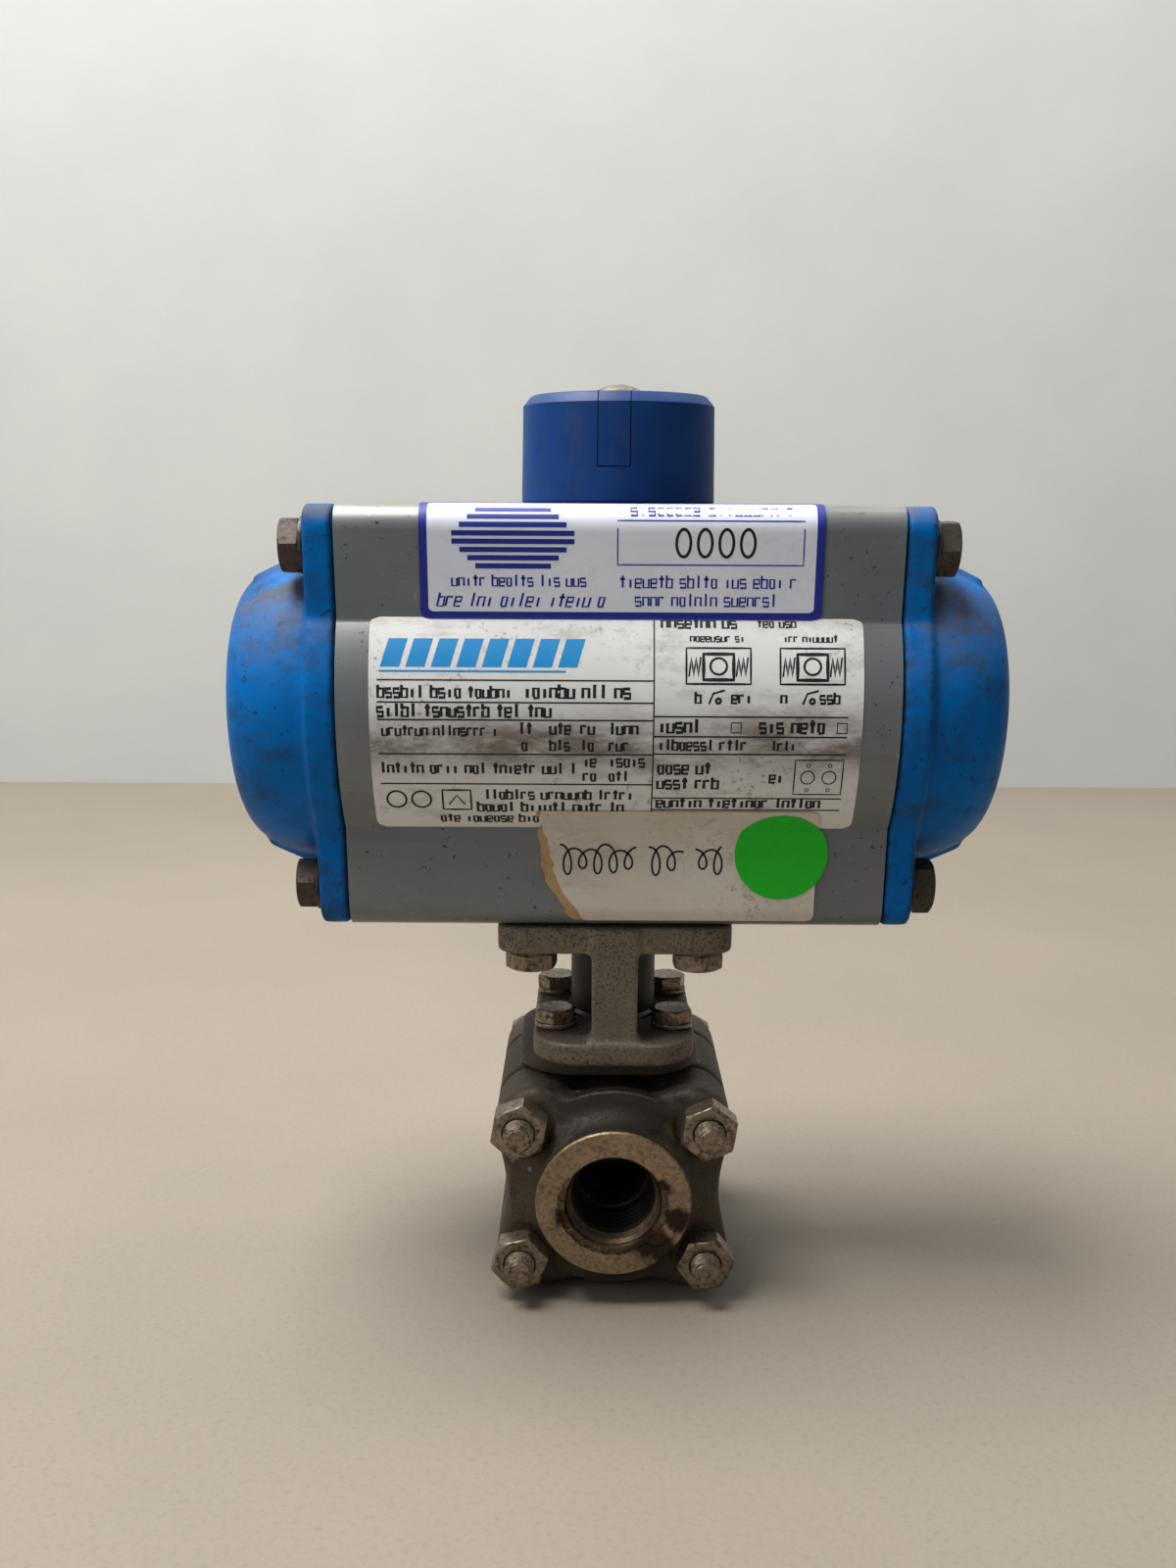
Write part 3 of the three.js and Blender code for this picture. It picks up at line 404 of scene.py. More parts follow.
def make_grey_paint():
    look = Look("grey_body_coating", (105, 109, 112), (120, 124, 126), (28, 4, 0.55))
    look.coat((72, 68, 63), (60, 6, 0.7, 3.0, (0.25, 1, 1.6)), 0.54, 0.75, 0.5)
    look.coat((168, 170, 170), (420, 3, 0.8, 7.0, (1, 1, 0.15)), 0.67, 0.72, 0.6)
    look.coat((40, 36, 31), (620, 4, 0.7, 11.0), 0.62, 0.67, 0.85)
    dust = look.times(look.facing_up(), look.span((45, 6, 0.7, 2.0), 0.35, 0.75))
    look.tint(dust, (150, 138, 120), 0.5)
    look.bump((2600, 2, 0.5), 0.10, 0.05)
    look.bump((130, 2, 0.5), 0.08, 0.25)
    return look.finish(look.span(look.cloud, 0.3, 0.7, 0.3, 0.42), 0.35, 0.6)


def make_blue_paint():
    look = Look("blue_cap_coating", (0, 90, 160), (0, 108, 186), (40, 5, 0.6))
    smear = look.noise(75, 7, 0.78, 4.0, (1, 1, 1.4))
    look.coat((38, 58, 82), smear, 0.47, 0.66, 0.85)
    look.coat((20, 24, 30), (520, 4, 0.65, 9.0), 0.62, 0.68, 0.85)
    worn = look.times(look.edges(0.51, 0.545), look.span((300, 4, 0.7, 14.0), 0.4, 0.58))
    look.tint(worn, (28, 32, 38), 0.85)
    look.tint(look.hollows(0.44, 0.495), (26, 26, 26), 0.8)
    dust = look.times(look.facing_up(0.25, 0.75), look.span((60, 8, 0.8, 5.0), 0.42, 0.58))
    look.tint(dust, (94, 87, 77), 0.85)
    look.bump((700, 2, 0.5), 0.16, 0.08)
    look.bump((190, 3, 0.5, 6.0), 0.12, 0.3)
    roughness = look.math("ADD", look.span(smear, 0.35, 0.7, 0.36, 0.56), look.times(dust, 0.3))
    return look.finish(roughness, 0.0, 0.08)


def make_blue_plastic():
    look = Look("dark_blue_plastic", (16, 54, 112), (24, 68, 130), (60, 5, 0.6))
    look.coat((64, 72, 88), (170, 5, 0.7, 2.0, (1, 1, 0.4)), 0.54, 0.74, 0.45)
    dust = look.times(look.facing_up(0.15, 0.8), look.span((240, 6, 0.75), 0.32, 0.68))
    look.tint(dust, (52, 62, 76), 0.7)
    look.bump((1500, 3, 0.6), 0.15, 0.06)
    return look.finish(look.span(look.cloud, 0.3, 0.7, 0.4, 0.55), 0.0, 0.14)


def make_cast_steel(name, dark, light, metallic, seed, pitting, shadow_spot=None):
    """Cast stainless, grimy in its corners and rubbed on its edges; the last argument, a point and a reach,
    places a painted shadow on its upward faces.
    """
    look = Look(name, dark, light, (55, 6, 0.65, seed))
    grains = look.noise(1500, 4, 0.7, seed + 3)
    stains = look.noise(120, 6, 0.7, seed + 8)
    look.coat(GRIME, grains, 0.52, 0.72, 0.6)
    look.coat((58, 38, 24), stains, 0.55, 0.75, 0.5)
    patches = look.span((75, 3, 0.5, seed + 14), 0.38, 0.55, 0.35, 1)
    look.tint(look.times(look.span((1700, 4, 0.72, seed + 12), 0.52, 0.58), patches), (20, 17, 14), pitting)
    # Painted shadow: the actuator's shade over the valve's top, darkened round a point.
    if shadow_spot is not None:
        look.tint(look.times(look.near(*shadow_spot), look.facing_up(-0.2, 0.4)), (19, 16, 14), 0.85)
    look.tint(look.hollows(), GRIME, 0.8)
    look.tint(look.times(look.edges(), look.span(stains, 0.3, 0.55)), (176, 164, 144), 0.6)
    look.bump(grains, 0.35, 0.12)
    look.bump(look.pits(850), 0.25, 0.12)
    look.bump((230, 3, 0.5, seed + 5), 0.25, 0.35)
    return look.finish(look.span(grains, 0.3, 0.7, 0.48, 0.74), metallic)


def make_turned_steel(name, dark, light, metallic=0.92, smooth=0.26, rough=0.5, spotting=0.85, stain_and_shade=None):
    """Turned or forged stainless with fine grime; the last argument is a function that tints it further, with
    stains and painted shade.
    """
    look = Look(name, dark, light, (90, 5, 0.65))
    lines = look.noise(900, 3, 0.6, 2.0)
    spots = look.noise(800, 4, 0.7, 6.0)
    look.coat((60, 46, 34), lines, 0.46, 0.7, 0.6)
    look.coat((34, 27, 21), spots, 0.52, 0.62, spotting)
    if stain_and_shade is not None:
        stain_and_shade(look)
    look.bump(lines, 0.12, 0.05)
    look.bump(spots, 0.15, 0.1)
    return look.finish(look.span(spots, 0.35, 0.7, smooth, rough), metallic)


def make_plain(name, dark, light, roughness, metallic):
    """A lightly clouded metal, rubber or polymer."""
    look = Look(name, dark, light, (200, 5, 0.6))
    look.bump((1200, 3, 0.6), 0.2, 0.06)
    return look.finish(look.span(look.cloud, 0.3, 0.7, roughness, roughness + 0.15), metallic)


def make_label_white(name, dark, light, dirt, seed, band=None):
    """Printed vinyl, with grime smeared along the actuator and heaviest in a band (centre Z, half width)."""
    look = Look(name, dark, light, (35, 4, 0.6, seed))
    smear = look.noise(70, 8, 0.78, seed + 2, (0.5, 1, 1.3))
    look.coat((120, 106, 90), smear, 0.5, 0.74, dirt)
    if band is not None:
        middle, half = (size * MM for size in band)
        height = look.axis_value(look.place, "Z")
        away = look.math("ABSOLUTE", look.math("SUBTRACT", height, middle, False))
        within = look.span(away, half, 0.2 * half)
        look.tint(look.times(within, look.span(smear, 0.36, 0.56)), (96, 82, 68), 0.85)
    patches = look.span((48, 4, 0.6, seed + 6), 0.48, 0.64)
    look.tint(look.times(look.span((700, 4, 0.7, seed + 4), 0.55, 0.64), patches), (74, 60, 46), dirt)
    look.bump((160, 3, 0.5, seed + 1), 0.08, 0.15)
    return look.finish(look.span(smear, 0.3, 0.7, 0.3, 0.6), 0.0, 0.45)


def make_ink(name, colour, faded, wear):
    look = Look(name, colour, faded, (500, 5, 0.7), 0.5, 0.72, wear)
    return look.finish(look.span(look.cloud, 0.3, 0.7, 0.42, 0.6), 0.0, 0.4)


def make_floor():
    look = Look("bench_top", (130, 121, 109), (137, 127, 115), (5, 6, 0.6), 0.35, 0.65)
    grain = look.noise(700, 4, 0.7, 2.0)
    look.coat((96, 87, 77), grain, 0.5, 0.75, 0.35)
    look.bump(grain, 0.15, 0.2)
    return look.finish(0.62, 0.0, 0.35)


def make_wall():
    look = Look("backdrop", (186, 188, 186), (192, 194, 191), (9, 5, 0.6), 0.35, 0.65)
    return look.finish(0.9, 0.0, 0.2)


def port_stain_and_shade(look):
    """Dark sealant in patches round the port's mouth and brown in its threads; further in, painted shade
    turns the bore black.
    """
    sealant = 0.0
    for x, rise, reach in ((8.6, -9.4, 5.6), (13.6, -3.4, 3.6), (-10.4, -3.0, 2.8), (10.4, 4.0, 2.4)):
        sealant = look.math("ADD", sealant, look.near((x, -PORT_FACE_Y, PORT_Z + rise), reach))
    look.tint(sealant, (30, 22, 18), 0.94)
    depth = look.math("ABSOLUTE", look.axis_value(look.place, "Y"))
    look.coat((60, 45, 36), depth, (PORT_FACE_Y - 0.15) * MM, (PORT_FACE_Y - 0.8) * MM, 0.75)
    # Painted shade: black deep in the bore, where little light reaches.
    look.coat((7, 6, 5), depth, (PORT_FACE_Y - 4.6) * MM, (PORT_FACE_Y - 7.0) * MM, 1.0)


GREY = make_grey_paint()
BLUE = make_blue_paint()
BLUE_PLASTIC = make_blue_plastic()


BRACKET_STEEL = make_cast_steel("cast_bracket_steel", (104, 94, 82), (128, 118, 104), 0.5, 0.0, 0.75)
# The valve's steel, with a painted shadow of the actuator round the top of the front connection.
VALVE_STEEL = make_cast_steel(
    "cast_valve_steel", (62, 53, 42), (91, 79, 64), 0.4, 20.0, 0.5, ((0, -27, 45), 18))
# The port ring's steel: sealant stains at its mouth, and painted shade deeper in its bore.
PORT_STEEL = make_turned_steel(
    "turned_port_steel", (134, 116, 92), (166, 146, 120), 0.8, 0.3, 0.5, 0.35, port_stain_and_shade)
BOLT_STEEL = make_turned_steel("fastener_steel", (116, 102, 86), (156, 141, 122), 0.7, 0.22, 0.44)
# Painted shade: a darker copy of the fastener steel, for the end caps' bolts.
CAP_BOLT_STEEL_SHADED = make_turned_steel("cap_fastener_steel_painted_shade", (52, 45, 38), (80, 70, 60), 0.4, 0.45, 0.62)
INNER_STEEL = make_turned_steel("shaft_steel", (96, 92, 86), (128, 124, 116))
# Painted shade: the ball's steel is made dark to stand for the shade deep inside the bore.
BALL_STEEL_PAINTED_SHADE = make_plain("ball_steel_painted_shade", (34, 30, 26), (52, 46, 40), 0.45, 0.8)
DARK_STEEL = make_plain("oiled_dark_steel", (44, 42, 40), (60, 57, 54), 0.42, 0.8)
SPRING_STEEL = make_plain("spring_steel", (52, 52, 54), (72, 72, 74), 0.35, 0.85)
DIE_CAST = make_plain("die_cast_aluminium", (150, 152, 154), (172, 174, 176), 0.45, 0.8)
RUBBER = make_plain("black_rubber", (20, 20, 20), (30, 30, 30), 0.7, 0.0)
SEAT_POLYMER = make_plain("filled_seat_polymer", (46, 42, 38), (60, 55, 50), 0.5, 0.0)
POLYMER = make_plain("white_polymer", (214, 210, 200), (228, 225, 216), 0.45, 0.0)
PLATE_WHITE = make_label_white("type_plate_white", (206, 206, 203), (222, 222, 220), 0.8, 0.0, (121.0, 7.5))
SERIAL_WHITE = make_label_white("serial_label_white", (212, 217, 228), (222, 226, 234), 0.12, 30.0)
TAG_PAPER = make_label_white("paper_tag", (196, 187, 174), (212, 204, 193), 0.55, 60.0)
TORN_FIBRE = make_ink("torn_fibre", (176, 142, 98), (140, 108, 72), 0.8)
BLACK_INK = make_ink("black_ink", (8, 8, 9), (60, 52, 45), 0.25)
BLUE_INK = make_ink("blue_ink", (20, 34, 134), (56, 66, 140), 0.15)
SKY_INK = make_ink("light_blue_ink", (0, 132, 196), (70, 140, 180), 0.3)
GREEN_DOT = make_ink("green_paper", (14, 186, 26), (24, 164, 34), 0.5)


# ---- actuator housing

def housing_outline(grow=0.0):
    """Barrel section in Y and Z, with a square-shouldered lobe above and below the barrel."""
    r = BULGE_R + grow
    half_y = LOBE_Y + grow
    half_z = HALF_HEIGHT + grow
    crease = math.degrees(math.acos(half_y / r))
    corner = LOBE_CORNER + grow
    quarter = arc(0, 0, r, 0, crease, 20) + arc(half_y - corner, half_z - corner, corner, 0, 90, 10)
    upper = quarter + [(-y, z) for y, z in reversed(quarter)]
    lower = [(y, -z) for y, z in reversed(upper[1:-1])]
    return [(y, AXIS_Z + z) for y, z in upper + lower]


def make_actuator_body():
    body = make("actuator_body_shell", prism(housing_outline(), "x", -HALF_LENGTH, HALF_LENGTH))
    pad = make("pad", block((-27, 27), (20, PAD_FACE_Y), (AXIS_Z - 20.4, AXIS_Z + 20.4)))
    bevel(pad, 1.2, 3)
    join(body, pad, "UNION")
    cylinder = bar(28.5, "x", -HALF_LENGTH - 2, HALF_LENGTH + 2, (0, AXIS_Z), 96)
    ports = [bar(AIR_PORT_R, "y", PAD_FACE_Y - 5.5, PAD_FACE_Y + 2, (x, AXIS_Z), 46) for x in (-12, 12)]
    pad_holes = [
        bar(TAPPED_R, "y", PAD_FACE_Y - 4.5, PAD_FACE_Y + 2, (x, AXIS_Z + z), 24)
        for x in (-16, 16) for z in (-12, 12)]
    top_holes = [
        bar(TAPPED_R, "z", BODY_TOP - 8, BODY_TOP + 2, (x, y), 24) for x in (-40, 40) for y in (-15, 15)]
    shaft_holes = [
        bar(13.0, "z", BODY_BOTTOM - 2, AXIS_Z, (0, 0), 64),
        bar(11.5, "z", AXIS_Z, BODY_TOP + 2, (0, 0), 64),
        bar(RECESS_R, "z", BODY_TOP - RECESS_DEPTH, BODY_TOP + 2, (0, 0), 96)]
    carve(body, cylinder, *ports, *pad_holes, *top_holes, *shaft_holes)
    bevel(body, 0.35, 2, 40)
    dress(body, GREY, "housing", "grey_paint", "actuator_body")


def make_end_cap(side, label):
    low, high = box_mm(f"{label}_end_cap")
    inner, end = (low[0], high[0]) if side > 0 else (-high[0], -low[0])
    face = inner + 5.95
    flange = prism(housing_outline(-0.05), "x", *sorted((side * inner, side * face)))
    dome_rise = [
        (31.4, 3.5), (30.9, 6), (30.2, 8.4), (29.2, 10.8), (28.0, 12.8), (26.4, 14.8), (24.6, 16.2),
        (22.2, 17.3), (19.4, 17.9), (16.0, 18.35), (13.6, 18.75)]
    shoulder = [(0, inner + 0.6), (31.9, inner + 0.6), (31.9, face)]
    shoulder += [(r, face + rise) for r, rise in dome_rise] + [(12.8, end), (0, end)]
    dome = lathe([(r, side * x) for r, x in shoulder], "x", (0, AXIS_Z), 128)
    slope = [(-2, 20), (-2, 33.6), (0.5, 33.4), (13.2, 27.6), (13.2, 20)]
    gussets = [
        loft([[(side * (face + x), y, AXIS_Z + up * z) for x, z in slope] for y in (-9.6, 9.6)])
        for up in (-1, 1)]
    cap = make(f"{label}_cap_casting", flange, dome, *gussets)
    cast(cap, 0.55, 0)
    pocket = [(0, inner - 2), (27.6, inner - 2), (27.6, 67), (24.4, 73.4), (21, 76.5), (0, 76.5)]
    carve(cap, lathe([(r, side * x) for r, x in pocket], "x", (0, AXIS_Z), 72))
    cast(cap, 0.5, 10)
    dress(cap, BLUE, "housing", "blue_paint", f"{label}_end_cap", angle=60)


def hex_loops(across_flats, axis, low, high, centre, turn, chamfer_low=False):
    """Loops of a hexagon bar along its axis, with its outer end chamfered by a 30 degree cone."""
    apothem = across_flats / 2
    crown = apothem * 0.95
    angles = around(48)
    reach = [apothem / math.cos((a % (math.pi / 3)) - math.pi / 6) for a in angles]
    drop = [math.copysign((r - crown) * math.tan(math.radians(30)), high - low) for r in reach]

    def at(radii, level, shifts):
        return [
            spun(axis, centre, r, a + math.radians(turn), level + shift)
            for a, r, shift in zip(angles, radii, shifts)]

    circle = [crown] * len(angles)
    level = [0.0] * len(angles)
    loops = [at(circle, low, level), at(reach, low, drop)] if chamfer_low else [at(reach, low, level)]
    return loops + [at(reach, high, [-d for d in drop]), at(circle, high, level)]


def hex_bar(*sizes):
    return loft(hex_loops(*sizes))


def threaded_bar(r, pitch, low, high, tip, axis, centre):
    """A screw's shank with thread ridges, and a chamfered tip at its high end, which lies towards -axis."""
    root = r - pitch * 0.5
    profile = [(0, low), (root, low)]
    count = int((low - high - tip) / pitch)
    for i in range(count):
        start = low - i * pitch
        profile += [(root, start), (r, start - pitch * 0.42), (r, start - pitch * 0.58)]
    profile += [(root, low - count * pitch), (r - tip, high + 0.25), (r - tip - 0.3, high), (0, high)]
    return lathe(profile, axis, centre, 40)


def washer(r, hole, low, high, axis, centre):
    edge = math.copysign(0.15, high - low)
    rim = [(r - 0.15, low), (r, low + edge), (r, high - edge), (r - 0.15, high)]
    return tube([(hole, low), *rim, (hole, high)], axis, centre, 64)


def make_cap_bolts():
    for side, label in ((-1, "left"), (1, "right")):
        for row, row_turn in (("front", 4), ("rear", 20)):
            for level, level_turn in (("lower", 8), ("upper", 0)):
                node = f"{label}_cap_bolt_{row}_{level}"
                low, high = box_mm(node)
                head = side * (CAP_BOLT_SEAT + 1.0)
                outer = high[0] if side > 0 else low[0]
                centre = centre_mm(node)[1:]
                bolt = make(
                    f"{node}_screw",
                    washer(5.5, 2.6, side * CAP_BOLT_SEAT, head, "x", centre),
                    hex_bar(10, "x", head, outer, centre, (row_turn + level_turn) * side),
                    bar(2.8, "x", *sorted((side * 50, side * (CAP_BOLT_SEAT + 1.5))), centre, 32))
                bevel(bolt, 0.25, 2, 25)
                # The cap bolts take the darker steel, which is painted shade.
                dress(bolt, CAP_BOLT_STEEL_SHADED, "housing", "bolt_steel", node)


# ---- indicator

def make_indicator():
    low, high = box_mm("indicator_cap")
    bottom, top = low[2], high[2]
    base_r, top_r = 19.7, 19.3
    outer = [
        (0, bottom), (base_r - 0.3, bottom), (base_r, bottom + 0.3), (top_r, top - 1.95),
        (top_r - 0.25, top - 1.6), (top_r - 1.45, top - 0.2), (top_r - 1.9, top), (0, top)]
    cap = make("indicator_cap_shell", lathe(outer, "z", (0, 0), 144))
    carve(cap, bar(14.5, "z", bottom - 2, top - 3.4, (0, 0), 72))
    turn = Matrix.Rotation(math.radians(-3.5), 2)
    for side, node in ((-1, "indicator_insert_front"), (1, "indicator_insert_rear")):
        insert_low = box_mm(node)[0][2]

        def slab(grow, floor, lid):
            half = 3.25 + grow
            inner, outside = side * (top_r - 2.3 - grow), side * (top_r + 3)
            corners = [(-half, inner), (half, inner), (half, outside), (-half, outside)]
            return prism([turn @ Vector(corner) for corner in corners], "z", floor, lid)

        carve(cap, slab(0.0, insert_low - 0.2, top + 2))
        insert = make(f"{node}_tab", lathe([(r - 0.06 if r else 0, z) for r, z in outer], "z", (0, 0), 144))
        combine(insert, "INTERSECT", slab(-0.17, insert_low, top + 1))
        bevel(insert, 0.12, 1, 50)
        dress(insert, BLUE_PLASTIC, "drive_train", "blue_plastic", node)
    dress(cap, BLUE_PLASTIC, "drive_train", "blue_plastic", "indicator_cap")
    low, high = box_mm("indicator_screw")
    seat = top + 0.12
    shank = [(0, low[2]), (2.1, low[2]), (2.1, seat), (5.6, seat), (5.85, seat + 0.25)]
    dome = arc(0, high[2] - 9.2, 9.2, 51, 90, 10)
    screw = make("indicator_screw_head", lathe(shank + dome, "z", (0, 0), 64))
    carve(screw, hex_bar(3.2, "z", high[2] - 1.3, high[2] + 1, (0, 0), 10))
    dress(screw, BOLT_STEEL, "drive_train", "bolt_steel", "indicator_screw")


# ---- bracket and its fasteners

def rounded_rectangle(half_x, half_y, r, steps=10):
    quarter = arc(half_x - r, half_y - r, r, 0, 90, steps)
    upper = quarter + [(-x, y) for x, y in reversed(quarter)]
    return upper + [(-x, -y) for x, y in upper]


PAD_BOLTS = four_nodes("pad_bolt", "front", "rear")
BRACKET_BOLTS = four_nodes("bracket_bolt", "front", "rear")


def make_bracket():
    low, high = box_mm("bracket")
    bottom, top = low[2], high[2]
    lower = prism(rounded_rectangle(17.5, high[1], 10.0, 16), "z", bottom, bottom + 5.0)
    upper = prism(rounded_rectangle(high[0], 24.5, 5.0), "z", top - 5.85, top)
    legs = []
    for side in (-1, 1):
        y = sorted((side * 20.0, side * 25.3))
        legs.append(block((-4.85, 4.85), y, (bottom + 0.5, top - 0.5)))
        for level, toward, spread in ((bottom + 5.0, 1, 1.5), (top - 5.85, -1, 0.6)):
            wide = 4.8 + spread
            foot = [(-wide, level - toward), (-wide, level), (-4.8, level + toward * spread),
                    (4.8, level + toward * spread), (wide, level), (wide, level - toward)]
            legs.append(prism(foot, "y", y[0] + 0.35, y[1] - 0.35))
    piece = make("bracket_casting", lower, upper, *legs)
    cast(piece, 0.5, 0)
    holes = [(9.8, bottom - 1, bottom + 7, (0, 0), 48), (10.6, top - 8, top + 1, (0, 0), 48)]
    holes += [(2.75, bottom - 1, bottom + 7, centre_mm(n)[:2], 24) for n in PAD_BOLTS]
    holes += [(3.25, top - 8, top + 1, centre_mm(n)[:2], 24) for n in BRACKET_BOLTS]
    carve(piece, *(bar(r, "z", *place) for r, *place in holes))
    cast(piece, 0.42, 7)
    dress(piece, BRACKET_STEEL, "housing", "cast_steel", "bracket", angle=60)


def make_bracket_fasteners():
    for node, turn in zip(BRACKET_BOLTS, (20, 8, 34, 50)):
        low, high = box_mm(node)
        centre = centre_mm(node)[:2]
        bolt = make(
            f"{node}_screw",
            hex_bar(10, "z", BRACKET_HEAD_TOP, low[2], centre, turn),
            bar(2.85, "z", BRACKET_HEAD_TOP - 0.5, high[2], centre, 32))
        bevel(bolt, 0.25, 2, 25)
        dress(bolt, BOLT_STEEL, "housing", "bolt_steel", node)
        ring_node = node.replace("bracket_bolt", "lock_washer")
        ring_low, ring_high = box_mm(ring_node)
        teeth = 72
        rim = []
        for k in range(teeth):
            for share, r in ((0.0, 5.15), (0.15, 5.6), (0.5, 5.6), (0.65, 5.15)):
                rim.append(spun("z", centre, r, 2 * math.pi * (k + share) / teeth, 0)[:2])
        ring = make(f"{ring_node}_serrated", prism(rim, "z", ring_low[2], ring_high[2]))
        carve(ring, bar(3.1, "z", ring_low[2] - 1, ring_high[2] + 1, centre, 32))
        dress(ring, BOLT_STEEL, "housing", "bolt_steel", ring_node)
    for node, turn in zip(PAD_BOLTS, (25, 5, 40, 15)):
        low, high = box_mm(node)
        centre = centre_mm(node)[:2]
        head = PAD_BOLT_SEAT + 1.15
        bolt = make(
            f"{node}_screw",
            washer(4.55, 2.5, PAD_BOLT_SEAT, head, "z", centre),
            hex_bar(8, "z", head, high[2], centre, turn),
            bar(2.4, "z", low[2], PAD_BOLT_SEAT + 1.5, centre, 32))
        bevel(bolt, 0.22, 2, 25)
        dress(bolt, BOLT_STEEL, "housing", "bolt_steel", node)


# ---- valve

def dip(share):
    """A smooth dip from 0 at both ends to 1 in the middle."""
    return (0.5 - 0.5 * math.cos(2 * math.pi * share)) ** 0.7


def valve_outline(scoop, inset=0.0):
    """Outline of the valve's pieces in X and Z: waisted at the sides, and scooped above and below."""
    half_x = FLANGE_HALF_X - inset
    half_z = FLANGE_TOP / 2 - inset
    r = 9.0 - inset
    shares = [i / 16 for i in range(17)]
    side = [(half_x - 2.3 * dip(s), (2 * s - 1) * (half_z - r)) for s in shares[8:16]]
    crown = [((1 - 2 * s) * (half_x - r), half_z - scoop * dip(s)) for s in shares[1:9]]
    quarter = side + arc(half_x - r, half_z - r, r, 0, 90, 10) + crown
    upper = quarter + [(-x, z) for x, z in reversed(quarter[:-1])]
    lower = [(x, -z) for x, z in reversed(upper[1:-1])]
    return [(x, FLANGE_TOP / 2 + z) for x, z in upper + lower]


def rounded_slab(scoop, stations):
    """A slab of the valve's outline, inset by a given amount at each station along Y."""
    return loft([[(x, y, z) for x, z in valve_outline(scoop, inset)] for y, inset in stations])


BODY_BOLTS = four_nodes("body_bolt", "lower", "upper")


def bolt_places():
    return [centre_mm(node)[::2] for node in BODY_BOLTS]


def make_valve_body():
    high = box_mm("valve_body")[1]
    half_y = SEAM_Y - 0.3
    middle = rounded_slab(0.0, [
        (-half_y, 0.8), (-half_y + 0.7, 0.0), (half_y - 0.7, 0.0), (half_y, 0.8)])
    neck = block((-16.5, 16.5), (-half_y + 0.5, half_y - 0.5), (40, high[2] - 1))
    pad_outline = [(x - 1.0, y) for x, y in rounded_rectangle(19.8, high[1], 12, 16)]
    pad = prism(pad_outline, "z", high[2] - 4.1, high[2])
    body = make("valve_body_casting", middle, neck, pad)
    cast(body, 0.5, 0)
    stem_bore = lathe([
        (0, PORT_Z), (6.8, PORT_Z), (6.8, 39.3), (5.3, 39.3), (5.3, 41), (8, 41), (8, high[2] + 1),
        (0, high[2] + 1)], "z", (0, 0), 48)
    bolts = [bar(BOLT_BORE_R, "y", -20, 20, place, 24) for place in bolt_places()]
    carve(body, bar(12.65, "y", -20, 20, (0, PORT_Z), 64), stem_bore, *bolts)
    cast(body, 0.45, 9)
    dress(body, VALVE_STEEL, "housing", "cast_steel", "valve_body", angle=60)


def make_end_connection(side, label):
    inner = SEAM_Y
    face = FLANGE_FACE_Y
    outside = PORT_FACE_Y + 4
    rounding = [(inner, 0.8), (inner + 0.7, 0.0)]
    rounding += [(face - 2.4, 0.0), (face - 1.3, 0.35), (face - 0.5, 1.1), (face, 2.4)]
    flange = rounded_slab(3.0, [(side * y, inset) for y, inset in rounding])
    sweep = arc(HUB_R + 6.2, face + 6.4, 6.2, 270, 180, 12)
    hub_end = PORT_FACE_Y - 0.9
    hub = [(0, inner + 2), (21.6, inner + 2), *sweep, (HUB_R + 0.02, hub_end), (0, hub_end)]
    piece = make(
        f"{label}_connection_casting", flange, lathe([(r, side * y) for r, y in hub], "y", (0, PORT_Z), 96))
    cast(piece, 0.5, 0)
    cuts = []
    for place in bolt_places():
        cuts.append(bar(7.4, "y", *sorted((side * face, side * outside)), place, 40))
        cuts.append(bar(BOLT_BORE_R, "y", *sorted((side * 10, side * outside)), place, 24))
    bore = [
        (0, inner - 1), (7.5, inner - 1), (7.5, 20.8), (11.9, 21.2), (11.9, PORT_FACE_Y + 1),
        (0, PORT_FACE_Y + 1)]
    carve(piece, lathe([(r, side * y) for r, y in bore], "y", (0, PORT_Z), 64), *cuts)
    cast(piece, 0.42, 8)
    dress(piece, VALVE_STEEL, "housing", "cast_steel", f"{label}_end_connection", angle=60)
    make_port_ring(side, label)


def make_port_ring(side, label):
    """Machined port face with its tapered pipe thread, let into the casting."""
    face = PORT_FACE_Y
    back = face - 1.6
    pitch = 1.814
    profile = [
        (12.4, 21.4), (12.4, back), (HUB_R - 0.1, back), (HUB_R, back + 0.1), (HUB_R, face - 0.35),
        (HUB_R - 0.35, face), (10.95, face), (10.6, face - 0.45)]
    depth = 0.7
    while depth < 15.0:
        root = 10.45 - depth / 32
        crest = max(root - 1.5, 10.2 - 0.25 * depth)
        y = face - depth
        profile += [(root, y), (crest, y - pitch * 0.44), (crest, y - pitch * 0.56)]
        depth += pitch
    profile += [(8.6, 21.6), (7.6, 21.4)]
    ring = make(f"{label}_port_ring", tube([(r, side * y) for r, y in profile], "y", (0, PORT_Z), 128))
    if side < 0:
        chance = random.Random(4)
        worn = []
        for k in range(34):
            turn = math.radians(150 + 7 * k)
            bite = 0.9 + 0.5 * chance.random()
            spot = (10.7 * math.cos(turn), PORT_Z + 10.7 * math.sin(turn))
            worn.append(bar(bite, "y", -(face + 1), -(face - 0.5 - 0.5 * chance.random()), spot, 9))
        nick = bar(2.6, "y", -(face + 1), -(face - 0.5), (9.2, PORT_Z - 7.6), 7)
        carve(ring, *worn, nick)
    dress(ring, PORT_STEEL, "housing", "machined_steel", angle=30)


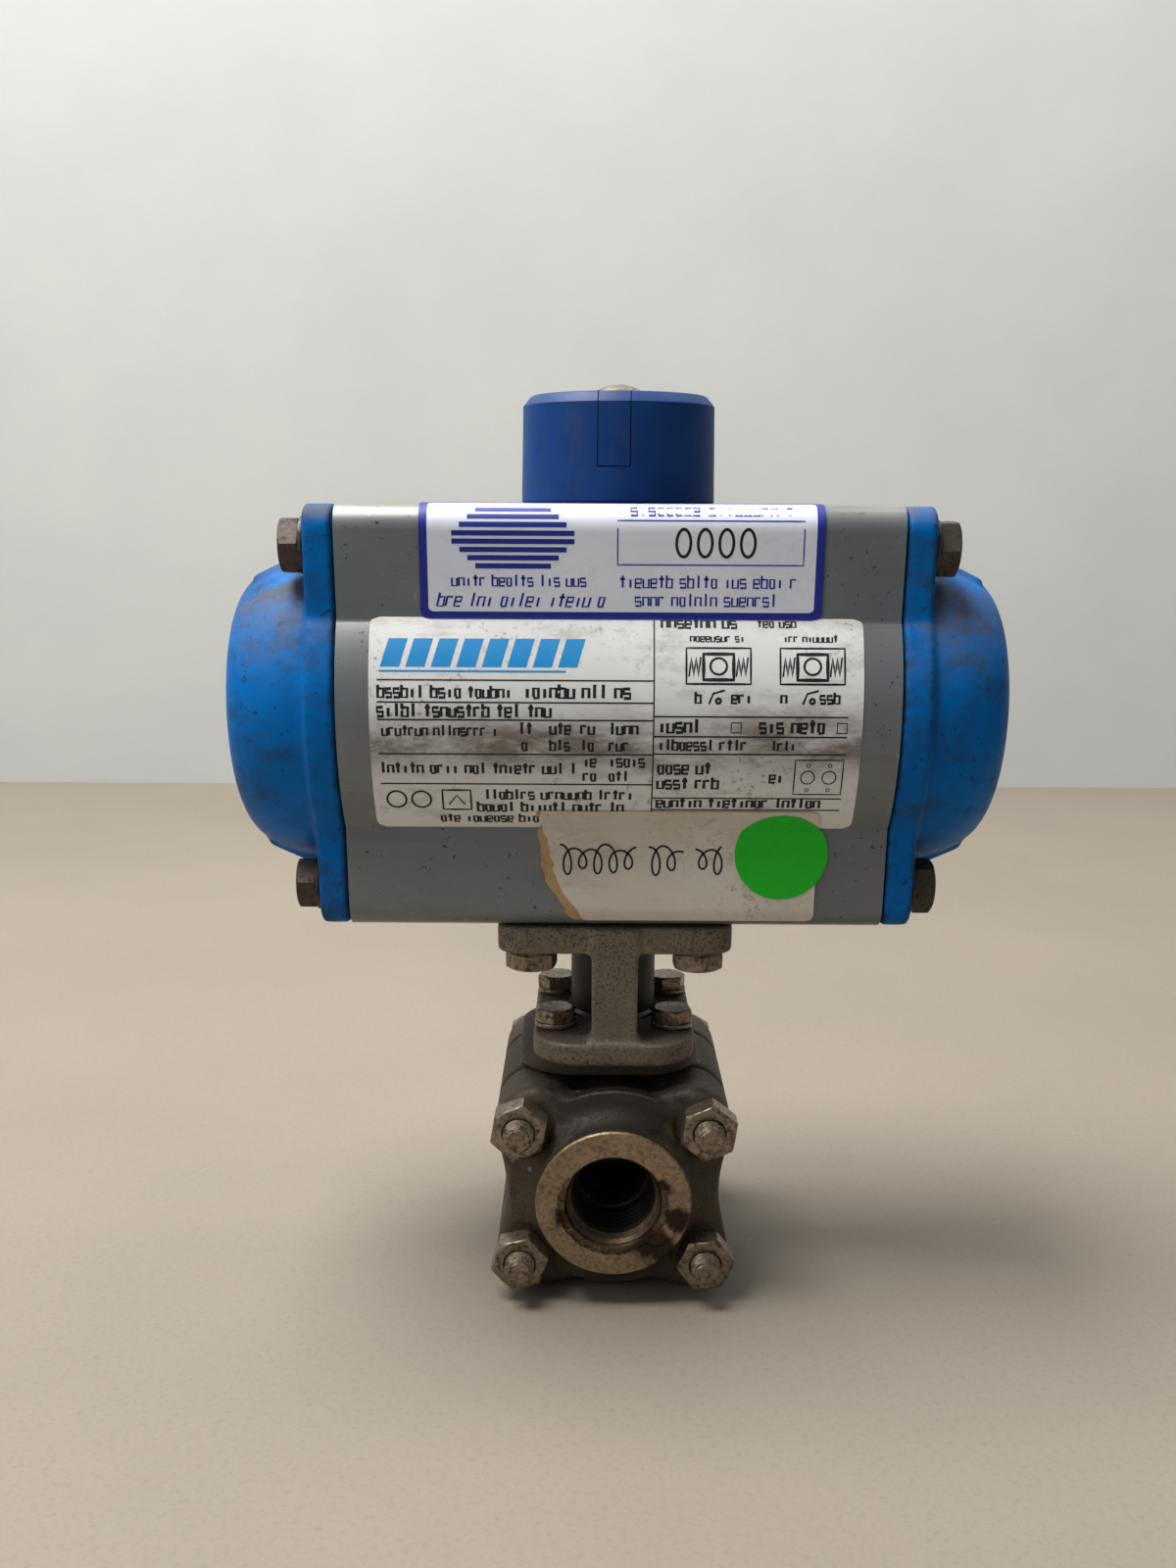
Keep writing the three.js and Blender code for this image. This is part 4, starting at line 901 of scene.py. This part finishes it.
def make_body_fasteners():
    for node, place, turn in zip(BODY_BOLTS, bolt_places(), (12, 20, 6, 22)):
        low, high = box_mm(node)
        bolt = make(
            f"{node}_screw",
            bar(3.0, "y", -27.5, REAR_HEAD_SEAT + 0.5, place, 32),
            threaded_bar(3.2, 1.27, -27.4, low[1], 0.6, "y", place),
            hex_bar(8.8, "y", REAR_HEAD_SEAT, high[1], place, 30))
        dress(bolt, BOLT_STEEL, "housing", "bolt_steel", node, angle=28)
        nut_node = node.replace("bolt", "nut")
        nut_low, nut_high = box_mm(nut_node)
        inner, outer = nut_high[1], nut_low[1]
        loops = hex_loops(11.1, "y", inner, outer, place, turn, True)
        for r, y in ((3.55, outer), (3.25, outer + 0.3), (3.25, inner - 0.5), (3.9, inner)):
            loops.append([spun("y", place, r, a + math.radians(turn), y) for a in around(48)])
        nut = make(f"{nut_node}_hex", loft(loops, True))
        bevel(nut, 0.22, 2, 25)
        dress(nut, BOLT_STEEL, "housing", "bolt_steel", nut_node, angle=28)


def make_ball_and_coupling():
    profile = [(0, PORT_Z - 12)] + arc(0, PORT_Z, 12, -86, 86, 43) + [(0, PORT_Z + 12)]
    ball = make("bored_ball", lathe(profile, "z"))
    carve(ball, bar(7.5, "x", -20, 20, (0, PORT_Z), 64), block((-2.3, 2.3), (-5.4, 5.4), (32.9, 40)))
    # The ball takes the dark steel: painted shade for the deep bore.
    dress(ball, BALL_STEEL_PAINTED_SHADE, "drive_train", "machined_steel", "ball", angle=30)
    low, high = box_mm("coupling")
    r, bottom, top = high[0], low[2], 81.6
    rim = [(r - 0.4, bottom), (r, bottom + 0.4), (r, top - 0.4), (r - 0.4, top)]
    barrel = [(5.35, bottom), *rim, (5.35, top)]
    square = prism(rounded_rectangle(4.6, 4.6, 0.5, 4), "z", 72, high[2])
    coupling = make("drive_coupling", tube(barrel, "z", (0, 0), 64), square)
    dress(coupling, DARK_STEEL, "drive_train", "blackened_steel", "coupling")


# ---- inner parts

def make_springs():
    wire = 2.0
    turns = 6.5
    count = int(turns * 32)
    for side, label in ((-1, "left"), (1, "right")):
        low, high = box_mm(f"{label}_spring")
        full = high[0] - low[0]
        coil_r = (high[1] - low[1]) / 2 - wire
        loops = []
        for i in range(count + 1):
            x = low[0] + wire + (full - 2 * wire) * i / count
            a = 2 * math.pi * turns * i / count
            out = Vector((0, math.cos(a), math.sin(a)))
            centre = Vector((x, 0, AXIS_Z)) + out * coil_r
            loops.append([
                centre + out * wire * math.cos(b) + Vector((wire * math.sin(b), 0, 0)) for b in around(10)])
        spring = make(f"{label}_return_coil", loft(loops))
        dress(spring, SPRING_STEEL, "housing", "spring_steel", f"{label}_spring", angle=80)
        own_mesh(spring)


def dress_inner_nodes():
    looks = {
        INNER_STEEL: ("pinion_shaft", "stem", "gland"),
        SPRING_STEEL: ("circlip",),
        POLYMER: ("lower_bearing", "upper_bearing", "stem_packing"),
        SEAT_POLYMER: ("front_seat", "rear_seat"),
        DIE_CAST: ("left_piston", "right_piston"),
        RUBBER: ("left_piston_ring", "right_piston_ring", "left_cap_seal", "right_cap_seal"),
    }
    for look, nodes in looks.items():
        for node in nodes:
            NODES[node].data.materials.clear()
            NODES[node].data.materials.append(look)


# ---- labels

class FrontPath:
    """The front face's outline from its lower to its upper edge, measured by arc length."""

    def __init__(self):
        corner_y, corner_z = LOBE_Y - LOBE_CORNER, HALF_HEIGHT - LOBE_CORNER
        crease = math.degrees(math.atan2(CREASE_Z, LOBE_Y))
        points = arc(-corner_y, -corner_z, LOBE_CORNER, 270, 180, 12)
        points += arc(0, 0, BULGE_R, 180 + crease, 180 - crease, 60)
        points += arc(-corner_y, corner_z, LOBE_CORNER, 180, 90, 12)
        points.append((-8, HALF_HEIGHT))
        self.points = [Vector((y, z + AXIS_Z)) for y, z in points]
        self.lengths = [0.0]
        for a, b in zip(self.points, self.points[1:]):
            self.lengths.append(self.lengths[-1] + (b - a).length)

    def at(self, s, lift):
        k = min(max(int(np.searchsorted(self.lengths, s)), 1), len(self.points) - 1)
        a, b = self.points[k - 1], self.points[k]
        share = (s - self.lengths[k - 1]) / (self.lengths[k] - self.lengths[k - 1])
        along = (b - a).normalized()
        outward = Vector((-along.y, along.x))
        return a + (b - a) * share + outward * lift

    def s_at_height(self, z):
        for k in range(1, len(self.points)):
            a, b = self.points[k - 1], self.points[k]
            if a.y <= z <= b.y and b.y > a.y:
                return self.lengths[k - 1] + (self.lengths[k] - self.lengths[k - 1]) * (z - a.y) / (b.y - a.y)
        return self.lengths[-1]


PATH = FrontPath()


def sheet(s_low, s_high, left, right, lift, thickness, rows, columns):
    """A thin closed sheet lying on the front face; left and right give its X limits at each s."""
    verts = []
    for height in (lift + thickness, lift):
        for i in range(rows + 1):
            s = s_low + (s_high - s_low) * i / rows
            y, z = PATH.at(s, height)
            for j in range(columns + 1):
                x = left(s) + (right(s) - left(s)) * j / columns
                verts.append((x, y, z))
    stride = columns + 1
    layer = (rows + 1) * stride
    faces = []
    for i in range(rows):
        for j in range(columns):
            a = i * stride + j
            faces.append((a, a + 1, a + stride + 1, a + stride))
            faces.append((layer + a, layer + a + stride, layer + a + stride + 1, layer + a + 1))
    border = list(range(columns))
    border += [i * stride + columns for i in range(rows)]
    border += [rows * stride + j for j in range(columns, 0, -1)]
    border += [i * stride for i in range(rows, 0, -1)]
    for k, a in enumerate(border):
        b = border[(k + 1) % len(border)]
        faces.append((a, layer + a, layer + b, b))
    return verts, faces


def rounded_limits(s_low, s_high, x_low, x_high, r):
    """X limits of a rectangle with rounded corners, as two functions of s."""
    def inset(s):
        near = min(s - s_low, s_high - s)
        return r - math.sqrt(max(r * r - (r - near) ** 2, 0)) if near < r else 0.0
    return lambda s: x_low + inset(s), lambda s: x_high - inset(s)


LABEL_LIFT = 0.04
LABEL_THICKNESS = 0.12
INK_LIFT = LABEL_LIFT + LABEL_THICKNESS - 0.01
INK = 0.035


def stroke(points, width, closed=False, lift=INK_LIFT):
    """A flat printed line through points (x, s) on the front face."""
    run = list(points) + ([points[0]] if closed else [])
    fine = []
    for (x0, s0), (x1, s1) in zip(run, run[1:]):
        pieces = max(1, int(math.hypot(x1 - x0, s1 - s0) / 1.6))
        fine += [(x0 + (x1 - x0) * k / pieces, s0 + (s1 - s0) * k / pieces) for k in range(pieces)]
    fine.append(run[-1])
    loops = []
    for k, (x, s) in enumerate(fine):
        before = fine[max(k - 1, 0)]
        after = fine[min(k + 1, len(fine) - 1)]
        if closed and k in (0, len(fine) - 1):
            before, after = fine[-2], fine[1]
        dx, ds = after[0] - before[0], after[1] - before[1]
        size = math.hypot(dx, ds) or 1.0
        aside, up = -ds / size * width / 2, dx / size * width / 2
        loop = []
        for sign, height in ((1, lift), (1, lift + INK), (-1, lift + INK), (-1, lift)):
            y, z = PATH.at(s + sign * up, height)
            loop.append((x + sign * aside, y, z))
        loops.append(loop)
    return loft(loops)


def fill(x0, x1, s0, s1, slant=0.0, lift=INK_LIFT):
    """A printed solid patch following the curve of the face, leaning by slant."""
    def left(s):
        return x0 + slant * (s - s0)

    def right(s):
        return x1 + slant * (s - s0)
    return sheet(s0, s1, left, right, lift, INK, 8, 1)


# Letter-like marks, as paths in a cell one unit wide; 1 is the height of a small letter.
MARKS = [
    [[(0, 0), (0, 1), (1, 1), (1, 0)]],
    [[(0, 1), (0, 0), (1, 0), (1, 1)]],
    [[(0.1, 0), (0.9, 0), (0.9, 1), (0.1, 1), (0.1, 0.1)]],
    [[(0.5, 0), (0.5, 1.45)]],
    [[(0.5, 0), (0.5, 1.4)], [(0.05, 1), (0.95, 1)]],
    [[(1, 0), (0, 0), (0, 1), (1, 1), (1, 0.5), (0.1, 0.5)]],
    [[(0, 0), (0, 1), (0.9, 1)]],
    [[(0, 0), (1, 0), (1, 0.5), (0, 0.5), (0, 1), (1, 1)]],
    [[(0, 1.45), (0, 0), (1, 0), (1, 1), (0.1, 1)]],
    [[(0.5, 0), (0.5, 0.95)]],
]


def greek(chance, x0, x1, s, height, weight=0.26, slant=0.0, lift=INK_LIFT):
    """A line of printing with no words in it: letter-like marks in groups."""
    small = height * 0.72
    wide = height * 0.48
    marks = []
    x = x0
    left_in_word = chance.randint(3, 8)
    while x + wide < x1:
        for path in chance.choice(MARKS):
            points = [(x + wide * px + slant * small * py, s + small * py) for px, py in path]
            marks.append(stroke(points, height * weight, False, lift))
        x += height * 0.68
        left_in_word -= 1
        if left_in_word == 0:
            x += height * 0.5
            left_in_word = chance.randint(3, 8)
    return marks


def oval(x, s, half_x, half_s, count=28):
    return [(x + half_x * math.cos(a), s + half_s * math.sin(a)) for a in around(count)]


def rectangle(x0, x1, s0, s1):
    return [(x0, s0), (x1, s0), (x1, s1), (x0, s1)]


def stick(name, look, *parts, slot="label"):
    """One piece of a label, from its sheet or its printed marks."""
    dress(make(name, *parts), look, "housing", slot, angle=80)


def make_type_plate():
    """Silver-white plate over the barrel, ruled like a form, with generic greeked entries."""
    s_low = PATH.s_at_height(AXIS_Z - CREASE_Z) + 0.4
    s_high = PATH.s_at_height(AXIS_Z + CREASE_Z) + 0.2
    x_low, x_high = -48.2, 47.2
    left, right = rounded_limits(s_low, s_high, x_low, x_high, 1.8)
    stick("type_plate", PLATE_WHITE, sheet(s_low, s_high, left, right, LABEL_LIFT, LABEL_THICKNESS, 64, 40))
    chance = random.Random(11)
    black = []

    def line(width, *points):
        """Through points given from the plate's left and top edges."""
        black.append(stroke([(x_low + x, s_high - drop) for x, drop in points], width))

    def outline(points, width):
        black.append(stroke(points, width, True))

    def box(x0, x1, drop0, drop1, width):
        outline(rectangle(x_low + x0, x_low + x1, s_high - drop0, s_high - drop1), width)

    def ring(x, drop, r, width, count=28):
        outline(oval(x_low + x, s_high - drop, r, r, count), width)

    middle = 55.0
    line(0.28, (middle, 0.5), (middle, 40.5))
    for drop in (12.9, 17.1, 20.4, 27.0, 33.2):
        line(0.3, (1.6, drop), (middle, drop))
    for drop in (19.6, 23.4, 26.8, 36.2, 39.0):
        line(0.3, (middle, drop), (92.5, drop))
    rows = [
        (1.8, 18.5, 16.2, 2.0), (19.2, 29, 16.2, 1.9), (30, 52, 16.2, 2.2), (1.6, 36, 19.8, 2.1),
        (2.5, 26, 23.4, 1.7), (29.0, 31.5, 23.0, 1.9), (35, 40, 23.0, 1.9), (41, 44, 23.0, 1.9),
        (46.5, 54, 23.0, 1.9), (29.5, 31, 26.2, 1.8), (35, 39.5, 26.2, 1.8), (41, 44, 26.2, 1.8),
        (46.5, 51, 26.2, 1.8), (1.8, 40, 30.9, 1.9), (41.5, 44.5, 29.4, 1.8), (46.5, 54, 29.4, 1.9),
        (41.5, 44, 32.4, 1.8), (46.5, 50.5, 32.4, 1.8), (22, 52, 36.6, 1.9), (20.5, 50.5, 39.6, 2.0),
        (13, 33, 42.4, 1.8), (56.5, 72, 2.2, 2.0), (75, 84, 2.0, 1.5), (62, 73, 5.1, 1.3),
        (80, 91.5, 5.1, 1.3), (70, 74.5, 17.0, 1.8), (87, 91, 17.0, 1.8), (63, 65, 17.0, 1.8),
        (79.5, 81.5, 17.0, 1.8), (56, 66.5, 22.6, 2.2), (75.5, 89, 22.6, 2.2), (56, 73.5, 26.0, 1.8),
        (78, 83, 26.0, 1.6), (56, 67.5, 30.8, 2.1), (56, 69.5, 34.0, 2.1), (78, 81, 32.6, 1.9),
        (56, 88.5, 38.4, 2.0)]
    for x0, x1, drop, height in rows:
        black += greek(chance, x_low + x0, x_low + x1, s_high - drop, height * 1.12)
    for x in (70.0, 90.5):
        box(x, x + 1.9, 22.6, 20.7, 0.25)
    for x in (4.5, 9.4):
        ring(x, 36.8, 1.9, 0.42)
    box(13.6, 19.2, 39.2, 34.6, 0.42)
    line(0.35, (14.8, 38), (16.4, 35.8), (18, 38))
    for x in (61.2, 79.3):
        box(x, x + 12.4, 13.4, 6.4, 0.4)
        box(x + 3.3, x + 9.1, 12.6, 7.6, 0.7)
        ring(x + 6.2, 10.0, 1.6, 0.45)
        for start in (0.5, 9.6):
            line(0.34, *((x + start + 0.45 * k, 8.2 if k % 2 else 12.0) for k in range(6)))
        line(0.4, (x + 4.4, 17.2), (x + 5.2, 15.2), (x + 7.4, 14.6))
        ring(x + 6.2, 16.6, 0.45, 0.5, 12)
    box(82.8, 92.2, 35.2, 27.9, 0.28)
    for x in (85.4, 89.6):
        ring(x, 31.5, 1.35, 0.24)
        for drop in (29.0, 34.2):
            ring(x, drop, 0.35, 0.18, 10)
    stick("type_plate_print", BLACK_INK, *black)
    starts = [x_low + 2.2 + 4.9 * k for k in range(8)]
    sky = [fill(x, x + 3.7, s_high - 10.4, s_high - 4.7, 0.28) for x in starts]
    sky.append(stroke([(x_low + 2, s_high - 11.2), (x_low + 38, s_high - 11.2)], 0.4))
    stick("type_plate_mark", SKY_INK, *sky)


def make_serial_label():
    """White label with a royal-blue border, running up over the barrel's top edge."""
    s_low = PATH.s_at_height(AXIS_Z + CREASE_Z) - 0.3
    s_high = s_low + 24.5
    x_low, x_high = -38.4, 39.2
    lift = LABEL_LIFT + LABEL_THICKNESS + 0.02
    top = lift + 0.115
    left, right = rounded_limits(s_low, s_high, x_low, x_high, 1.9)
    stick("serial_label_border", BLUE_INK, sheet(s_low, s_high, left, right, lift, 0.1, 60, 24))
    rim = 1.6
    left, right = rounded_limits(s_low + rim, s_high - rim, x_low + rim, x_high - rim, 0.8)
    face = sheet(s_low + rim, s_high - rim, left, right, lift + 0.09, 0.03, 56, 24)
    stick("serial_label_face", SERIAL_WHITE, face)
    blue = []
    stripes = 8
    for k in range(stripes):
        s = s_low + 9.6 + 1.5 * k
        lean = abs(k - (stripes - 1) / 2) * 1.5
        blue.append(fill(x_low + 5.5 + lean, x_low + 30.5 - lean, s, s + 0.95, 0.0, top))
    chance = random.Random(23)
    lines = [
        (6.2, 33.5, 6.4, 2.0, 0.2, 0.0), (3.2, 36.5, 2.6, 2.4, 0.17, 0.28),
        (40.5, 71.5, 19.4, 2.5, 0.2, 0.0), (38.5, 73.5, 6.2, 2.2, 0.18, 0.0),
        (41.5, 70.5, 2.8, 2.2, 0.18, 0.0)]
    for x0, x1, rise, height, weight, slant in lines:
        blue += greek(chance, x_low + x0, x_low + x1, s_low + rise, height, weight, slant, top)
    frame_box = rectangle(x_low + 38.0, x_low + 73.6, s_low + 10.4, s_low + 18.4)
    stick("serial_label_print", BLUE_INK, *blue, stroke(frame_box, 0.25, True, top))
    zeros = [oval(x_low + 50.6 + 4.1 * k, s_low + 14.4, 1.35, 2.5) for k in range(4)]
    stick("serial_label_entry", BLACK_INK, *(stroke(zero, 0.55, True, top) for zero in zeros))


def torn_edge(base_x, s_low, s_high, seed):
    """A ragged left limit: a slow wander with finer teeth on it."""
    chance = random.Random(seed)
    waves = [(chance.uniform(0.2, 0.5) / k, chance.uniform(0, 6.28), k) for k in range(1, 14)]

    def limit(s):
        share = (s - s_low) / (s_high - s_low)
        wander = sum(size * math.sin(k * 5.2 * share + phase) for size, phase, k in waves)
        return base_x + 9.0 * (1 - share) ** 2.6 - 0.6 * math.sin(3.1 * share) + wander * 1.4
    return limit


def make_paper_tag():
    s_low = PATH.s_at_height(83.9)
    s_high = PATH.s_at_height(107.2)
    lift = 2 * LABEL_THICKNESS + 0.12
    torn = torn_edge(-15.6, s_low, s_high, 5)

    def fibre_left(s):
        return torn(s) - 1.6 * (s_high - s) / (s_high - s_low)

    def fibre_right(s):
        return torn(s) + 6
    stick(
        "paper_tag_torn_fibre", TORN_FIBRE,
        sheet(s_low, s_high, fibre_left, fibre_right, lift - 0.1, 0.06, 90, 4))
    paper_left = torn_edge(-14.6, s_low, s_high, 6)
    straight = rounded_limits(s_low, s_high, -15, 40.6, 1.6)[1]
    stick("paper_tag_face", TAG_PAPER, sheet(s_low, s_high, paper_left, straight, lift, 0.14, 90, 30))
    middle = PATH.s_at_height(96.6)
    scribble = []
    for start, end in ((-11.5, 4.0), (6.5, 13.0), (16.0, 22.0)):
        wave = []
        for k in range(int(26 * (end - start) / 3.1) + 1):
            a = 2 * math.pi * k / 26
            reach = 2.5 + 0.7 * math.sin(0.37 * a + start)
            wave.append((start + 3.1 * k / 26 + 1.5 * math.sin(a), middle + reach * math.cos(a)))
        scribble.append(stroke(wave, 0.42, False, lift + 0.13))
    stick("paper_tag_scribble", BLACK_INK, *scribble)
    dot_s = PATH.s_at_height(97.9)
    dot_x, dot_r = 33.4, 9.4

    def half(s):
        return math.sqrt(max(dot_r ** 2 - (s - dot_s) ** 2, 0)) + 0.02
    dot = sheet(
        dot_s - dot_r, dot_s + dot_r, lambda s: dot_x - half(s), lambda s: dot_x + half(s),
        lift + 0.16, 0.12, 72, 24)
    stick("green_dot", GREEN_DOT, dot, slot="green_sticker")


# ---- stage, light and camera

def make_stage():
    depth_back, depth_front, half = 640, 900, 1600
    floor = make("stage_floor", block((-half, half), (-depth_front, depth_back), (-4, 0)))
    floor.data.materials.append(make_floor())
    wall = make("stage_wall", block((-half, half), (depth_back, depth_back + 8), (-4, 1600)))
    wall.data.materials.append(make_wall())


def add_light(name, place, target, size, power, colour):
    lamp = bpy.data.lights.new(name, "AREA")
    lamp.shape = "RECTANGLE"
    lamp.size, lamp.size_y = (s * MM for s in size)
    lamp.energy = power
    lamp.color = colour
    holder = bpy.data.objects.new(name, lamp)
    holder.location = Vector(place) * MM
    aim = (Vector(target) - Vector(place)).to_track_quat("-Z", "Y")
    holder.rotation_euler = aim.to_euler()
    bpy.context.scene.collection.objects.link(holder)


def make_lights():
    world = bpy.data.worlds.new("soft_room")
    world.use_nodes = True
    background = world.node_tree.nodes["Background"]
    background.inputs["Color"].default_value = (0.90, 0.94, 1.0, 1)
    background.inputs["Strength"].default_value = 0.19
    bpy.context.scene.world = world
    add_light("overhead", (-420, 40, 1250), (0, 20, 60), (900, 620), 34.0, (1.0, 0.985, 0.96))
    add_light("front_left", (-820, -700, 620), (0, 0, 120), (900, 700), 2.6, (0.97, 0.98, 1.0))
    add_light("wall_wash", (460, 330, 1050), (460, 640, 350), (500, 300), 3.2, (1.0, 0.99, 0.97))


def make_camera():
    camera = bpy.data.cameras.new("camera")
    camera.lens = 34.56
    camera.sensor_width = 36
    camera.shift_y = 0.1437
    camera.clip_start = 0.01
    holder = bpy.data.objects.new("camera", camera)
    holder.location = (-5.6 * MM, -326.9 * MM, 162.2 * MM)
    tilt = Matrix.Rotation(math.radians(72), 4, "X")
    roll = Matrix.Rotation(math.radians(0.3), 4, "Z")
    holder.rotation_euler = (tilt @ roll).to_euler()
    bpy.context.scene.collection.objects.link(holder)
    bpy.context.scene.camera = holder


make_camera()
make_stage()
make_lights()
make_actuator_body()
make_end_cap(-1, "left")
make_end_cap(1, "right")
make_cap_bolts()
make_indicator()
make_bracket()
make_bracket_fasteners()
make_valve_body()
make_end_connection(-1, "front")
make_end_connection(1, "rear")
make_body_fasteners()
make_ball_and_coupling()
make_springs()
dress_inner_nodes()
make_type_plate()
make_serial_label()
make_paper_tag()

bpy.context.scene.view_settings.view_transform = "Standard"
bpy.context.view_layer.update()
